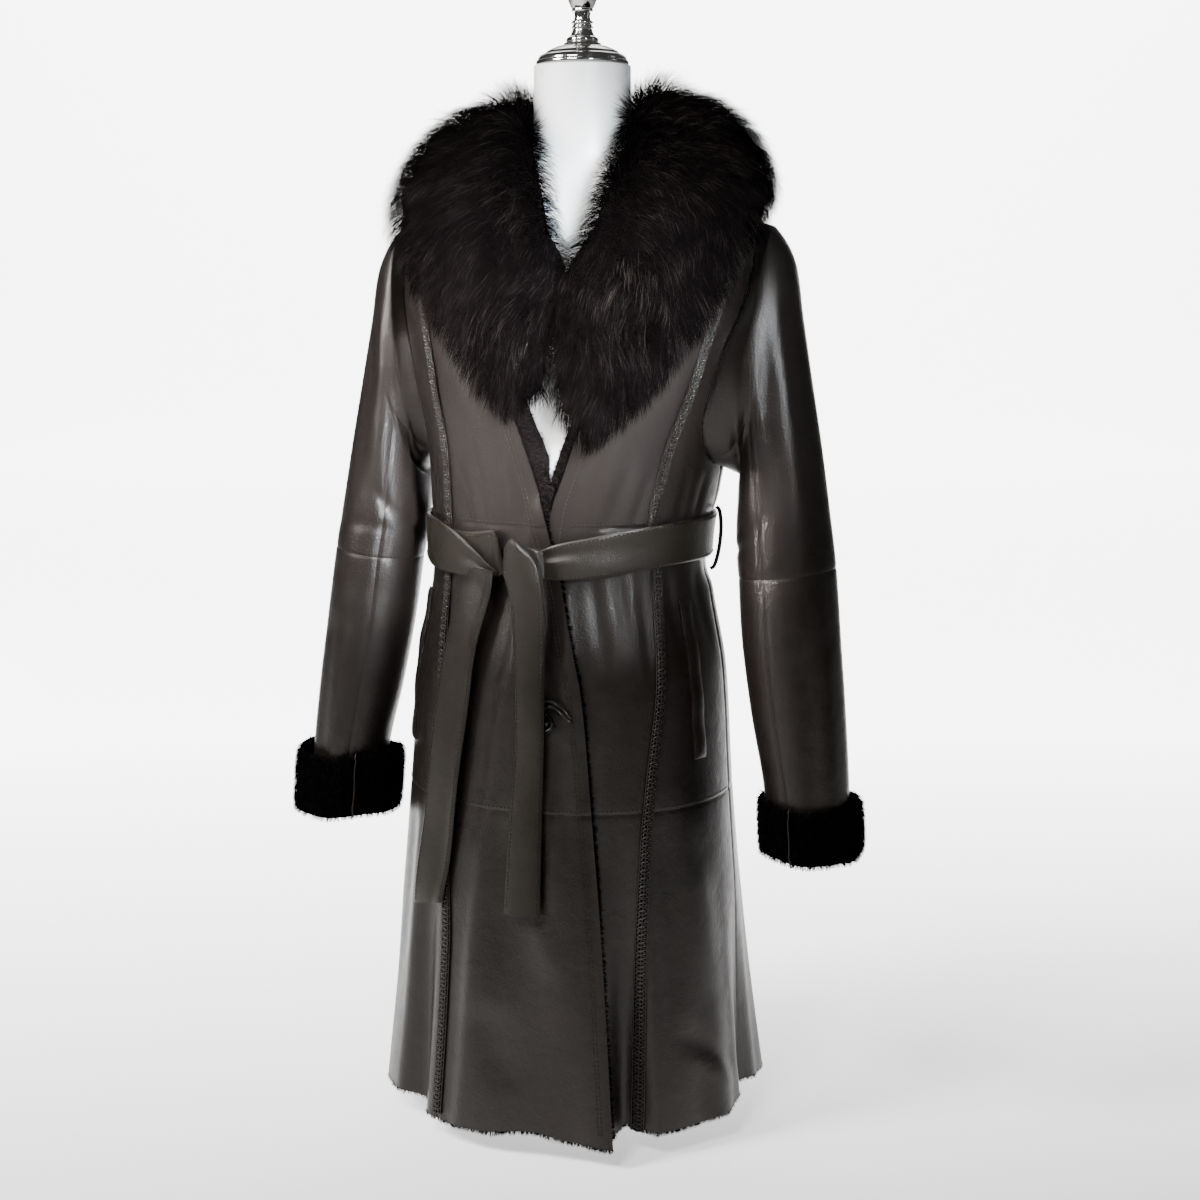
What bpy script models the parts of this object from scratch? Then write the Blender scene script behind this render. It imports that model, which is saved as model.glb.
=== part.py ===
"""A belted lambskin coat with a fur shawl collar, worn by a limbless dress form on a low stand.

Metres, +Z up. The garment's front faces -Y and the wearer's left is +X. The origin lies under the
middle of the stand's base. The coat is one smooth tube of leather around the form: every panel is
a stretch of that tube between its seams, and all that lies on a panel is made from the same tube,
moved outwards.
"""
import math
from collections import namedtuple

import bmesh
import bpy
from mathutils import Vector
from mathutils.bvhtree import BVHTree

# ---------------------------------------------------------------- driving sizes
WALL = 0.003                # leather with its pressed pile
SEAM = 0.0003               # parting between two sewn pieces
HEM_Z = 0.020               # the hem's lowest point, at the overlapping front's corner
KNEE_SEAM_Z = 0.360
WAIST_SEAM_Z = 0.650
SHOULDER_Z = 0.955
NECK_Z = 1.012
UNDERARM_Z = 0.705
BELT_Z = 0.622
BELT_WIDTH = 0.045
KNOT_ANGLE = -6.0
BELT_LIFT = 0.0078          # the belt's outer face off the leather
BELT_OVER_FRONT = 0.0048    # and that much further where it crosses the overlapping front
OVERLAP = 0.0018            # room between the overlapping front and the front beneath
FLAP = 0.012                # how far the overlapping front's corner swings outwards
BRAID_WIDTH = 0.012
BRAID_THICKNESS = 0.0022
BRAID_TOP_Z = 0.900         # the braids end under the collar
BUTTON_ANGLE = 4.5
BUTTON_Z = 0.455
LOOP_RADIUS = 0.0016        # half the thickness of the two belt loops' cord
ROUNDING = 0.92             # below 1 the sections are fuller than an ellipse
FORM_INSET = 0.010          # the form stays this far inside the coat
FORM_LOW_Z = 0.400
FORM_TOP_Z = 1.110
NECK_RADIUS = 0.050
BASE_RADIUS = 0.105
BASE_HEIGHT = 0.012
POLE_RADIUS = 0.014

# The tube's sections, from hem to neck; front and back are depths from the form's axis.
Section = namedtuple("Section", "z centre_x half_width front back")
SECTIONS = [
    Section(0.020, -0.014, 0.2070, 0.186, 0.150),
    Section(0.160, -0.014, 0.1925, 0.168, 0.142),
    Section(0.360, -0.013, 0.1755, 0.150, 0.131),
    Section(0.490, -0.012, 0.1665, 0.138, 0.124),
    Section(0.605, -0.012, 0.1495, 0.122, 0.101),
    Section(0.710, -0.006, 0.1575, 0.134, 0.108),
    Section(0.810, -0.002, 0.1780, 0.146, 0.116),
    Section(0.890, 0.000, 0.1900, 0.134, 0.116),
    Section(0.955, 0.000, 0.1880, 0.104, 0.104),
    Section(0.985, 0.000, 0.1430, 0.079, 0.091),
    Section(1.012, 0.000, 0.0780, 0.058, 0.076),
]

# Seams and edges as angles round the tube: 0 is the front, +90 the wearer's left side.
FrontEdge = namedtuple("FrontEdge", "z over under")
FRONT_EDGES = [
    FrontEdge(0.020, 25.5, -14.0),
    FrontEdge(0.222, 23.0, -11.5),
    FrontEdge(0.380, 19.2, -8.0),
    FrontEdge(0.478, 16.0, -5.0),
    FrontEdge(0.532, 12.5, -2.0),
    FrontEdge(0.595, 8.5, 1.0),
    FrontEdge(0.638, 4.6, 3.0),
    FrontEdge(0.672, 1.5, 4.7),
    FrontEdge(0.700, -1.0, 7.8),
    FrontEdge(0.752, -6.5, 13.5),
    FrontEdge(0.800, -12.0, 21.0),
    FrontEdge(0.860, -24.0, 33.0),
    FrontEdge(0.955, -46.0, 54.0),
    FrontEdge(1.012, -62.0, 66.0),
]
FrontSeam = namedtuple("FrontSeam", "z right left")
FRONT_SEAMS = [
    FrontSeam(0.020, -26.0, 35.0),
    FrontSeam(0.205, -27.0, 36.5),
    FrontSeam(0.325, -31.5, 39.0),
    FrontSeam(0.400, -35.0, 42.0),
    FrontSeam(0.500, -39.0, 47.0),
    FrontSeam(0.600, -43.5, 49.0),
    FrontSeam(0.650, -42.0, 45.0),
    FrontSeam(0.718, -42.0, 48.0),
    FrontSeam(0.790, -42.5, 54.0),
    FrontSeam(0.860, -45.0, 58.0),
    FrontSeam(0.955, -58.0, 64.0),
    FrontSeam(1.012, -76.0, 78.0),
]
BackSeam = namedtuple("BackSeam", "z angle")
BACK_SEAMS = [
    BackSeam(0.020, 140.0),
    BackSeam(0.400, 142.0),
    BackSeam(0.605, 146.0),
    BackSeam(0.760, 138.0),
    BackSeam(0.860, 133.0),
    BackSeam(0.955, 124.0),
    BackSeam(1.012, 106.0),
]
# How far the armhole reaches from the side seam, in degrees, to the front and to the back.
Armhole = namedtuple("Armhole", "z reach")
ARMHOLE = [
    Armhole(0.705, 0.0),
    Armhole(0.712, 13.0),
    Armhole(0.728, 21.0),
    Armhole(0.760, 26.0),
    Armhole(0.810, 25.0),
    Armhole(0.860, 19.0),
    Armhole(0.905, 12.0),
    Armhole(0.940, 5.5),
    Armhole(0.955, 0.0),
]
# Folds that open towards the hem: depth is outwards at the hem, and nothing is left at start_z.
Fold = namedtuple("Fold", "angle half_width depth start_z under_only")
FOLDS = [
    Fold(-39, 9.5, -0.024, 0.36, False),
    Fold(-72, 10.0, -0.008, 0.24, False),
    Fold(32, 9.5, -0.024, 0.30, True),
    Fold(66, 10.0, 0.009, 0.22, False),
    Fold(88, 11.0, -0.018, 0.26, False),
    Fold(112, 13.0, 0.012, 0.40, False),
    Fold(136, 11.0, -0.016, 0.34, False),
    Fold(161, 12.0, 0.010, 0.36, False),
    Fold(187, 11.0, -0.013, 0.30, False),
    Fold(212, 13.0, 0.010, 0.36, False),
    Fold(237, 11.0, -0.016, 0.36, False),
    Fold(261, 12.0, 0.009, 0.30, False),
]

# The hem's raw edge rises and falls a little round the coat.
HemRise = namedtuple("HemRise", "angle rise")
HEM_RISES = [
    HemRise(-180, 0.008),
    HemRise(-140, 0.003),
    HemRise(-105, 0.010),
    HemRise(-75, 0.011),
    HemRise(-46, 0.012),
    HemRise(-33, 0.006),
    HemRise(-22, 0.004),
    HemRise(-10, 0.005),
    HemRise(3, 0.012),
    HemRise(14, 0.005),
    HemRise(25.5, 0.000),
    HemRise(32, 0.011),
    HemRise(40, 0.007),
    HemRise(54, 0.008),
    HemRise(66, 0.010),
    HemRise(82, 0.014),
    HemRise(110, 0.006),
    HemRise(145, 0.010),
    HemRise(180, 0.008),
]

# The sleeve from the armhole down: its outer and inner lines, its middle's y and half its depth.
SleeveRing = namedtuple("SleeveRing", "outer_x outer_z inner_x inner_z y half_depth")
SLEEVE = [
    SleeveRing(0.2060, 0.948, 0.1740, 0.696, -0.003, 0.064),
    SleeveRing(0.2240, 0.915, 0.1740, 0.690, -0.004, 0.063),
    SleeveRing(0.2330, 0.862, 0.1725, 0.682, -0.006, 0.060),
    SleeveRing(0.2440, 0.800, 0.1720, 0.668, -0.010, 0.057),
    SleeveRing(0.2570, 0.728, 0.1715, 0.648, -0.014, 0.0545),
    SleeveRing(0.2680, 0.660, 0.1725, 0.622, -0.019, 0.052),
    SleeveRing(0.2760, 0.608, 0.1760, 0.596, -0.024, 0.051),
    SleeveRing(0.2840, 0.535, 0.1825, 0.532, -0.033, 0.049),
    SleeveRing(0.2920, 0.460, 0.1950, 0.458, -0.041, 0.047),
    SleeveRing(0.2980, 0.390, 0.2100, 0.388, -0.048, 0.0435),
    SleeveRing(0.3010, 0.332, 0.2150, 0.330, -0.051, 0.0420),
]
ELBOW_RING = 7              # the seam across the elbow; ring 0 is the armhole
SLEEVE_SEAM_ANGLE = 110.0   # the two long seams, from the outer line

# The two arms differ a little: how far the wrist is raised, how far the outer line is moved out, and
# the turned-up cuff's half width and heights.
Arm = namedtuple("Arm", "side lift shift cuff_half_width cuff_low_z cuff_high_z")
ARMS = {
    "left": Arm(1, -0.004, 0.0000, 0.0555, 0.313, 0.372),
    "right": Arm(-1, 0.006, -0.0060, 0.0615, 0.3205, 0.391),
}
SLEEVE_COLUMNS = {"top": 12, "under": 6}
CUFF_CENTRE_X = 0.2590
CUFF_Y = -0.0505
CUFF_HALF_DEPTH = 0.0560
CUFF_THICKNESS = 0.0095

# The fur collar from the middle of the back to a front tip: where its inner and outer edges point,
# seen from the collar's heart, how far the fur stands up, and how much more at the inner edge.
CollarRow = namedtuple("CollarRow", "inner_x inner_y inner_z outer_x outer_y outer_z crown stand")
COLLAR = [
    CollarRow(0.000, 0.062, 1.085, 0.000, 0.140, 0.900, 0.040, 0.020),
    CollarRow(0.034, 0.052, 1.085, 0.078, 0.130, 0.905, 0.044, 0.020),
    CollarRow(0.054, 0.028, 1.085, 0.142, 0.092, 0.930, 0.052, 0.020),
    CollarRow(0.059, -0.004, 1.080, 0.172, 0.035, 0.950, 0.060, 0.018),
    CollarRow(0.052, -0.034, 1.070, 0.178, -0.035, 0.935, 0.060, 0.016),
    CollarRow(0.038, -0.068, 1.030, 0.166, -0.090, 0.885, 0.056, 0.010),
    CollarRow(0.020, -0.104, 0.965, 0.142, -0.128, 0.838, 0.050, 0.004),
    CollarRow(0.009, -0.134, 0.890, 0.110, -0.150, 0.795, 0.044, 0.000),
    CollarRow(0.008, -0.148, 0.825, 0.076, -0.160, 0.760, 0.036, 0.000),
    CollarRow(0.012, -0.150, 0.772, 0.042, -0.158, 0.735, 0.020, 0.000),
]
# The two lobes differ: the row at which the front tip ends, and how far the outer edge spreads,
# how much higher it runs towards the tip and how full the fur stands, against the table.
Lobe = namedtuple("Lobe", "side last spread rise fullness")
LOBES = {
    "left": Lobe(1, 9.0, 0.98, 0.000, 0.98),
    "right": Lobe(-1, 8.7, 0.82, 0.024, 0.78),
}
COLLAR_HEART = Vector((0.0, 0.0, 0.750))
COLLAR_GAP = 0.0035
COLLAR_EDGE = 0.008         # the fur's thickness along both edges
COLLAR_PART = 0.012         # rows left out of one half, so that the two part behind the neck
COLLAR_STATIONS = 22
COLLAR_STEPS = 6
FRONT_SHIFT = 0.012         # the closure lies this far to the wearer's left of the middle
THROAT_SHIFT = 0.013        # and the open throat above it this much further

# The front belt end climbs behind the knot, turns over it and hangs: angles and lift off the coat.
TailRow = namedtuple("TailRow", "z left right lift")
FRONT_TAIL = [
    TailRow(0.6480, -11.5, -3.0, 0.0170),
    TailRow(0.6535, -12.5, -1.5, 0.0220),
    TailRow(0.6480, -13.5, 0.0, 0.0285),
    TailRow(0.6120, -13.0, 1.5, 0.0315),
    TailRow(0.552, -9.0, 2.0, 0.0250),
    TailRow(0.495, -7.0, 2.8, 0.0180),
    TailRow(0.442, -6.0, 2.8, 0.0140),
    TailRow(0.368, -7.0, 1.8, 0.0120),
    TailRow(0.254, -7.2, 1.6, 0.0120),
]
# The side belt end hangs flat from under the knot: its middle's angle, its lift and half width.
SideTailRow = namedtuple("SideTailRow", "z angle lift half_width")
SIDE_TAIL = [
    SideTailRow(0.606, -22.0, 0.0150, 0.016),
    SideTailRow(0.580, -27.0, 0.0130, 0.021),
    SideTailRow(0.520, -33.0, 0.0110, 0.0225),
    SideTailRow(0.430, -37.0, 0.0100, 0.0225),
    SideTailRow(0.330, -40.0, 0.0090, 0.0225),
    SideTailRow(0.254, -42.5, 0.0090, 0.0225),
]
SIDE_TAIL_TURN = -32.0      # the way the flat side of that end faces

Swatch = namedtuple("Swatch", "colour roughness metallic")
SWATCHES = {
    "leather": Swatch((0.072, 0.062, 0.056), 0.48, 0.0),
    "belt_leather": Swatch((0.080, 0.070, 0.060), 0.50, 0.0),
    "braid_leather": Swatch((0.035, 0.030, 0.028), 0.55, 0.0),
    "long_fur": Swatch((0.020, 0.015, 0.014), 0.85, 0.0),
    "short_fur": Swatch((0.012, 0.010, 0.011), 0.80, 0.0),
    "form_white": Swatch((0.86, 0.85, 0.83), 0.35, 0.0),
    "chrome": Swatch((0.72, 0.72, 0.72), 0.12, 1.0),
    "base_steel": Swatch((0.60, 0.60, 0.61), 0.30, 1.0),
    "button_metal": Swatch((0.20, 0.19, 0.19), 0.22, 1.0),
}


# ---------------------------------------------------------------- small tools
def clear_scene():
    for thing in list(bpy.data.objects):
        bpy.data.objects.remove(thing, do_unlink=True)


def material(name):
    """One Principled material per kind of stuff."""
    if name in bpy.data.materials:
        return bpy.data.materials[name]
    made = bpy.data.materials.new(name)
    made.use_nodes = True
    shader = made.node_tree.nodes["Principled BSDF"]
    swatch = SWATCHES[name]
    shader.inputs["Base Color"].default_value = (*swatch.colour, 1.0)
    shader.inputs["Roughness"].default_value = swatch.roughness
    shader.inputs["Metallic"].default_value = swatch.metallic
    return made


def finish(name, bm, stuff):
    """Turn a bmesh into a named, smooth-shaded object."""
    mesh = bpy.data.meshes.new(name)
    bm.to_mesh(mesh)
    bm.free()
    mesh.shade_smooth()
    mesh.materials.append(material(stuff))
    made = bpy.data.objects.new(name, mesh)
    bpy.context.scene.collection.objects.link(made)
    return made


def clamp(value, low=0.0, high=1.0):
    return max(low, min(high, value))


def smooth_step(value):
    value = clamp(value)
    return value * value * (3.0 - 2.0 * value)


def mix(a, b, share):
    return a + (b - a) * share


def along(rows, place):
    """A row read between the rows of a table, on a smooth curve; place counts rows from 0."""
    place = clamp(place, 0.0, len(rows) - 1.0)
    first = min(int(place), len(rows) - 2)
    share = place - first
    before = rows[max(first - 1, 0)]
    after = rows[min(first + 2, len(rows) - 1)]
    values = []
    for p0, p1, p2, p3 in zip(before, rows[first], rows[first + 1], after):
        slope_in = (p2 - p0) / 2.0
        slope_out = (p3 - p1) / 2.0
        a = 2.0 * p1 - 2.0 * p2 + slope_in + slope_out
        b = -3.0 * p1 + 3.0 * p2 - 2.0 * slope_in - slope_out
        values.append(((a * share + b) * share + slope_in) * share + p1)
    return type(rows[0])(*values)


def at_height(rows, z):
    """A row of a table read at a height, on a curve that never overshoots its rows."""
    if z <= rows[0].z:
        return rows[0]
    if z >= rows[-1].z:
        return rows[-1]
    i = max(k for k in range(len(rows) - 1) if rows[k].z <= z)
    low, high = rows[i], rows[i + 1]
    step = high.z - low.z
    share = (z - low.z) / step
    values = [z]
    for column in range(1, len(low)):
        rise = (high[column] - low[column]) / step
        slopes = []
        for k in (i, i + 1):
            if k == 0 or k == len(rows) - 1:
                slopes.append(rise)
                continue
            under = (rows[k][column] - rows[k - 1][column]) / (rows[k].z - rows[k - 1].z)
            over = (rows[k + 1][column] - rows[k][column]) / (rows[k + 1].z - rows[k].z)
            slopes.append(2.0 * under * over / (under + over) if under * over > 0 else 0.0)
        h00 = (1 + 2 * share) * (1 - share) ** 2
        h10 = share * (1 - share) ** 2
        h01 = share * share * (3 - 2 * share)
        h11 = share * share * (share - 1)
        values.append(h00 * low[column] + h10 * step * slopes[0]
                      + h01 * high[column] + h11 * step * slopes[1])
    return type(low)(*values)


# ---------------------------------------------------------------- the coat's tube
def fuller(value):
    return math.copysign(abs(value) ** ROUNDING, value)


def tube_point(angle, z):
    """The plain tube, without folds."""
    section = at_height(SECTIONS, z)
    turn = math.radians(angle)
    depth = section.front if math.cos(turn) > 0 else section.back
    x = section.centre_x + section.half_width * fuller(math.sin(turn))
    return Vector((x, -depth * fuller(math.cos(turn)), z))


def tube_normal(angle, z):
    side = tube_point(angle + 1.0, z) - tube_point(angle - 1.0, z)
    low = max(z - 0.004, SECTIONS[0].z)
    high = min(z + 0.004, SECTIONS[-1].z)
    rise = tube_point(angle, high) - tube_point(angle, low)
    return side.cross(rise).normalized()


def fold_depth(angle, z, over_layer=False):
    total = 0.0
    for fold in FOLDS:
        away = (angle - fold.angle + 180.0) % 360.0 - 180.0
        if abs(away) >= fold.half_width or z >= fold.start_z or (fold.under_only and over_layer):
            continue
        height = (fold.start_z - z) / (fold.start_z - HEM_Z)
        swell = math.cos(0.5 * math.pi * away / fold.half_width) ** 2
        total += fold.depth * swell * height ** 1.25
    return total


def coat_point(angle, z, lift=0.0, over_layer=False):
    """A point on the leather's outer face, moved outwards by lift."""
    outwards = lift + fold_depth(angle, z, over_layer)
    return tube_point(angle, z) + tube_normal(angle, z) * outwards


def hem_rise(angle):
    """How far the raw edge lies above the hem's lowest point, eased between the table's rows."""
    wrapped = (angle + 180.0) % 360.0 - 180.0
    for low, high in zip(HEM_RISES, HEM_RISES[1:]):
        if low.angle <= wrapped <= high.angle:
            share = (wrapped - low.angle) / (high.angle - low.angle)
            return mix(low.rise, high.rise, smooth_step(share))
    return HEM_RISES[-1].rise


def over_lift(angle, z):
    """How far the overlapping front stands off the tube: over the front beneath, and at its flap."""
    edges = at_height(FRONT_EDGES, z)
    low_down = smooth_step((0.700 - z) / 0.035)
    onto_under = smooth_step((angle - edges.under + 9.0) / 6.0)
    at_edge = smooth_step((angle - edges.over + 14.0) / 14.0)
    flap = FLAP * clamp((0.35 - z) / 0.33) ** 2 * at_edge
    return (WALL + OVERLAP) * low_down * onto_under + flap


def grid_mesh(point, columns, rows, close_columns=False, close_rows=False):
    """A Blender grid whose vertices are carried onto point(a, b), both from 0 to 1."""
    bm = bmesh.new()
    bmesh.ops.create_grid(bm, x_segments=columns, y_segments=rows, size=0.5)
    for vertex in bm.verts:
        a = vertex.co.x + 0.5
        b = vertex.co.y + 0.5
        vertex.co = point(0.0 if close_columns and a > 0.9999 else a,
                          0.0 if close_rows and b > 0.9999 else b)
    if close_columns or close_rows:
        bmesh.ops.remove_doubles(bm, verts=bm.verts, dist=1e-6)
    return bm


def wall(name, point, columns, rows, stuff, thickness=WALL):
    """A closed sheet: a grid extruded into a slab, whose vertices are then carried into place.

    point(a, b, depth) gives the outer face at depth 0 and the inner face at the wall's thickness.
    """
    bm = bmesh.new()
    bmesh.ops.create_grid(bm, x_segments=columns, y_segments=rows, size=0.5)
    slab = bm.verts[:] + bm.edges[:] + bm.faces[:]
    grown = bmesh.ops.extrude_face_region(bm, geom=slab, use_keep_orig=True)
    for vertex in grown["geom"]:
        if isinstance(vertex, bmesh.types.BMVert):
            vertex.co.z = -1.0
    for vertex in bm.verts:
        depth = thickness if vertex.co.z < -0.5 else 0.0
        vertex.co = point(vertex.co.x + 0.5, vertex.co.y + 0.5, depth)
    bmesh.ops.recalc_face_normals(bm, faces=bm.faces)
    return finish(name, bm, stuff)


def capped(bm):
    rim = [edge for edge in bm.edges if edge.is_boundary]
    bmesh.ops.holes_fill(bm, edges=rim, sides=0)
    bmesh.ops.recalc_face_normals(bm, faces=bm.faces)
    return bm


# ---------------------------------------------------------------- body panels
# Each tier's heights, and its columns in a front, a side front, a side back and the back panel.
Tier = namedtuple("Tier", "heights front side_front side_back back")
TIERS = {
    "hem": Tier([HEM_Z, 0.060, 0.110, 0.170, 0.240, 0.300, KNEE_SEAM_Z], 9, 9, 8, 12),
    "skirt": Tier([KNEE_SEAM_Z, 0.430, 0.500, 0.550, 0.595, BELT_Z, WAIST_SEAM_Z], 7, 6, 6, 9),
    "bodice": Tier([WAIST_SEAM_Z, 0.678, UNDERARM_Z, 0.712, 0.728, 0.760, 0.810, 0.860, 0.905,
                    0.940, SHOULDER_Z, 0.985, NECK_Z], 7, 6, 6, 9),
}


def side_edge(z):
    """Degrees from the side at which a panel ends: the side seam, the armhole or the shoulder."""
    if z <= UNDERARM_Z or z >= SHOULDER_Z:
        return 0.0
    return at_height(ARMHOLE, z).reach


def panel(name, first, last, tier, columns, over_layer=False):
    """A leather panel between two edges, both given as angle(z), for one tier of the coat."""
    heights = TIERS[tier].heights

    def point(a, b, depth):
        row = round(b * (len(heights) - 1))
        z = heights[row]
        radius = at_height(SECTIONS, z).half_width
        trim = math.degrees(SEAM / radius)
        angle = mix(first(z) + trim, last(z) - trim, a)
        level = z
        if row == 0 and tier == "hem":
            level = z + hem_rise(angle)
        if row == 0 and tier != "hem":
            level = z + SEAM / 2.0
        if row == len(heights) - 1 and tier != "bodice":
            level = z - SEAM / 2.0
        lift = over_lift(angle, level) if over_layer else 0.0
        return coat_point(angle, level, lift - depth, over_layer)

    return wall(name, point, columns, len(heights) - 1, "leather")


def front_seam_right(z):
    return at_height(FRONT_SEAMS, z).right


def front_seam_left(z):
    return at_height(FRONT_SEAMS, z).left


def over_edge(z):
    return at_height(FRONT_EDGES, z).over


def under_edge(z):
    return at_height(FRONT_EDGES, z).under


def back_seam_left(z):
    return at_height(BACK_SEAMS, z).angle


def back_seam_right(z):
    return 360.0 - back_seam_left(z)


def body_panels():
    made = []
    for tier, plan in TIERS.items():
        made += [
            panel(f"front_right_{tier}", front_seam_right, over_edge, tier, plan.front, True),
            panel(f"front_left_{tier}", under_edge, front_seam_left, tier, plan.front),
            panel(f"side_front_right_{tier}", lambda z: side_edge(z) - 90.0, front_seam_right,
                  tier, plan.side_front),
            panel(f"side_front_left_{tier}", front_seam_left, lambda z: 90.0 - side_edge(z),
                  tier, plan.side_front),
            panel(f"side_back_left_{tier}", lambda z: 90.0 + side_edge(z), back_seam_left,
                  tier, plan.side_back),
            panel(f"side_back_right_{tier}", back_seam_right, lambda z: 270.0 - side_edge(z),
                  tier, plan.side_back),
            panel(f"back_{tier}", back_seam_left, back_seam_right, tier, plan.back),
        ]
    return made


# ---------------------------------------------------------------- sleeves and cuffs
def armhole_point(side, angle):
    """The sleeve's first ring: just inside the armhole, 0 degrees at the shoulder."""
    middle = (SHOULDER_Z + UNDERARM_Z) / 2.0
    half = (SHOULDER_Z - UNDERARM_Z) / 2.0 - 0.006
    z = middle + half * math.cos(math.radians(angle))
    reach = at_height(ARMHOLE, z).reach * 0.88
    forwards = math.sin(math.radians(angle))
    return coat_point(side * (90.0 - math.copysign(reach, forwards)), z)


def sleeve_point(arm, angle, station):
    """Rings that fan down from the armhole; angle 0 is the outer line and 90 the front."""
    ring = along(SLEEVE, max(station - 1.0, 0.0))
    drop = arm.lift * clamp(station / len(SLEEVE)) ** 1.5
    outer = Vector((arm.side * (ring.outer_x + arm.shift), ring.y, ring.outer_z + drop))
    inner = Vector((arm.side * ring.inner_x, ring.y, ring.inner_z + drop))
    turn = math.radians(angle)
    point = (outer + inner) / 2.0 + (outer - inner) / 2.0 * math.cos(turn)
    point.y -= ring.half_depth * math.sin(turn)
    if station < 1.0:
        return armhole_point(arm.side, angle).lerp(point, smooth_step(station))
    return point


def sleeve_normal(arm, angle, station):
    around = sleeve_point(arm, angle + 2.0, station) - sleeve_point(arm, angle - 2.0, station)
    low = min(station + 0.1, len(SLEEVE))
    high = max(station - 0.1, 0.0)
    downwards = sleeve_point(arm, angle, low) - sleeve_point(arm, angle, high)
    return around.cross(downwards).normalized() * arm.side


def sleeve_piece(name, arm, first, last, from_ring, to_ring, columns):
    """A stretch of sleeve between two long seams and two rings."""
    trim = math.degrees(SEAM / 0.048)
    across = SEAM / 2.0 / 0.075
    low = to_ring - (across if to_ring == ELBOW_RING else 0.0)
    high = from_ring + (across if from_ring == ELBOW_RING else 0.0)
    if arm.side < 0:
        first, last = last, first
        trim = -trim

    def point(a, b, depth):
        angle = mix(last - trim, first + trim, a)
        station = mix(low, high, b)
        return sleeve_point(arm, angle, station) - sleeve_normal(arm, angle, station) * depth

    return wall(name, point, columns, to_ring - from_ring, "leather")


def cuff(name, arm):
    """A turned-up fur cuff: a rounded ring round the sleeve's end."""
    half_section = CUFF_THICKNESS / 2.0
    half_height = (arm.cuff_high_z - arm.cuff_low_z) / 2.0
    middle_z = (arm.cuff_high_z + arm.cuff_low_z) / 2.0
    centre_x = CUFF_CENTRE_X + arm.shift * 0.75

    def point(a, b):
        turn = math.tau * a * arm.side
        around = math.tau * b
        outwards = half_section * fuller(math.cos(around)) - half_section
        z = middle_z + half_height * math.copysign(abs(math.sin(around)) ** 0.55, math.sin(around))
        x = (arm.cuff_half_width + outwards) * math.cos(turn)
        y = (CUFF_HALF_DEPTH + outwards) * math.sin(turn)
        lean = (z - middle_z) * 0.06
        return Vector((arm.side * (centre_x + x - lean), CUFF_Y + y + lean, z))

    bm = grid_mesh(point, 26, 8, close_columns=True, close_rows=True)
    bmesh.ops.recalc_face_normals(bm, faces=bm.faces)
    return finish(name, bm, "short_fur")


def sleeves():
    made = []
    last_ring = len(SLEEVE)
    seam = SLEEVE_SEAM_ANGLE
    stretches = (("upper", 0, ELBOW_RING), ("lower", ELBOW_RING, last_ring))
    halves = (("top", -seam, seam), ("under", seam, 360.0 - seam))
    for name, arm in ARMS.items():
        for stretch, from_ring, to_ring in stretches:
            for half, first, last in halves:
                made.append(sleeve_piece(f"sleeve_{name}_{half}_{stretch}", arm, first, last,
                                         from_ring, to_ring, SLEEVE_COLUMNS[half]))
        cuff(f"cuff_{name}", arm)
    return made


# ---------------------------------------------------------------- the fur collar
def world_trees(objects):
    """What the collar lies on, as it stands with its walls."""
    bpy.context.view_layer.update()
    graph = bpy.context.evaluated_depsgraph_get()
    return [BVHTree.FromObject(thing, graph) for thing in objects]


def ground_radius(trees, direction):
    """How far out from the collar's heart the coat lies in that direction."""
    reach = 0.6
    best = 0.04
    for tree in trees:
        hit = tree.ray_cast(COLLAR_HEART + direction * reach, -direction, reach)
        if hit[0] is not None:
            best = max(best, (hit[0] - COLLAR_HEART).length)
    return best


def collar_direction(lobe, place, across):
    """Where the collar's band points at a place along it and across it, from the heart."""
    row = along(COLLAR, place)
    front = smooth_step((place - 4.0) / 3.0)
    spread = mix(1.0, lobe.spread, smooth_step(place / 3.0))
    throat = smooth_step((place - 3.5) / 1.5) * smooth_step((8.2 - place) / 1.5)
    inner = Vector((row.inner_x + lobe.side * THROAT_SHIFT * throat, row.inner_y, row.inner_z))
    outer = Vector((row.outer_x * spread, row.outer_y, row.outer_z + lobe.rise * front))
    point = inner.lerp(outer, across)
    point.x = lobe.side * point.x + FRONT_SHIFT * front
    return (point - COLLAR_HEART).normalized()


def collar_height(lobe, place, across):
    """How far the fur's surface stands above the coat."""
    row = along(COLLAR, place)
    fullness = mix(1.0, lobe.fullness, smooth_step(place / 3.0))
    crown = row.crown * fullness * math.sin(math.pi * mix(0.09, 0.91, across)) ** 0.8
    return COLLAR_EDGE + crown + row.stand * (1.0 - across) ** 2


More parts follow.
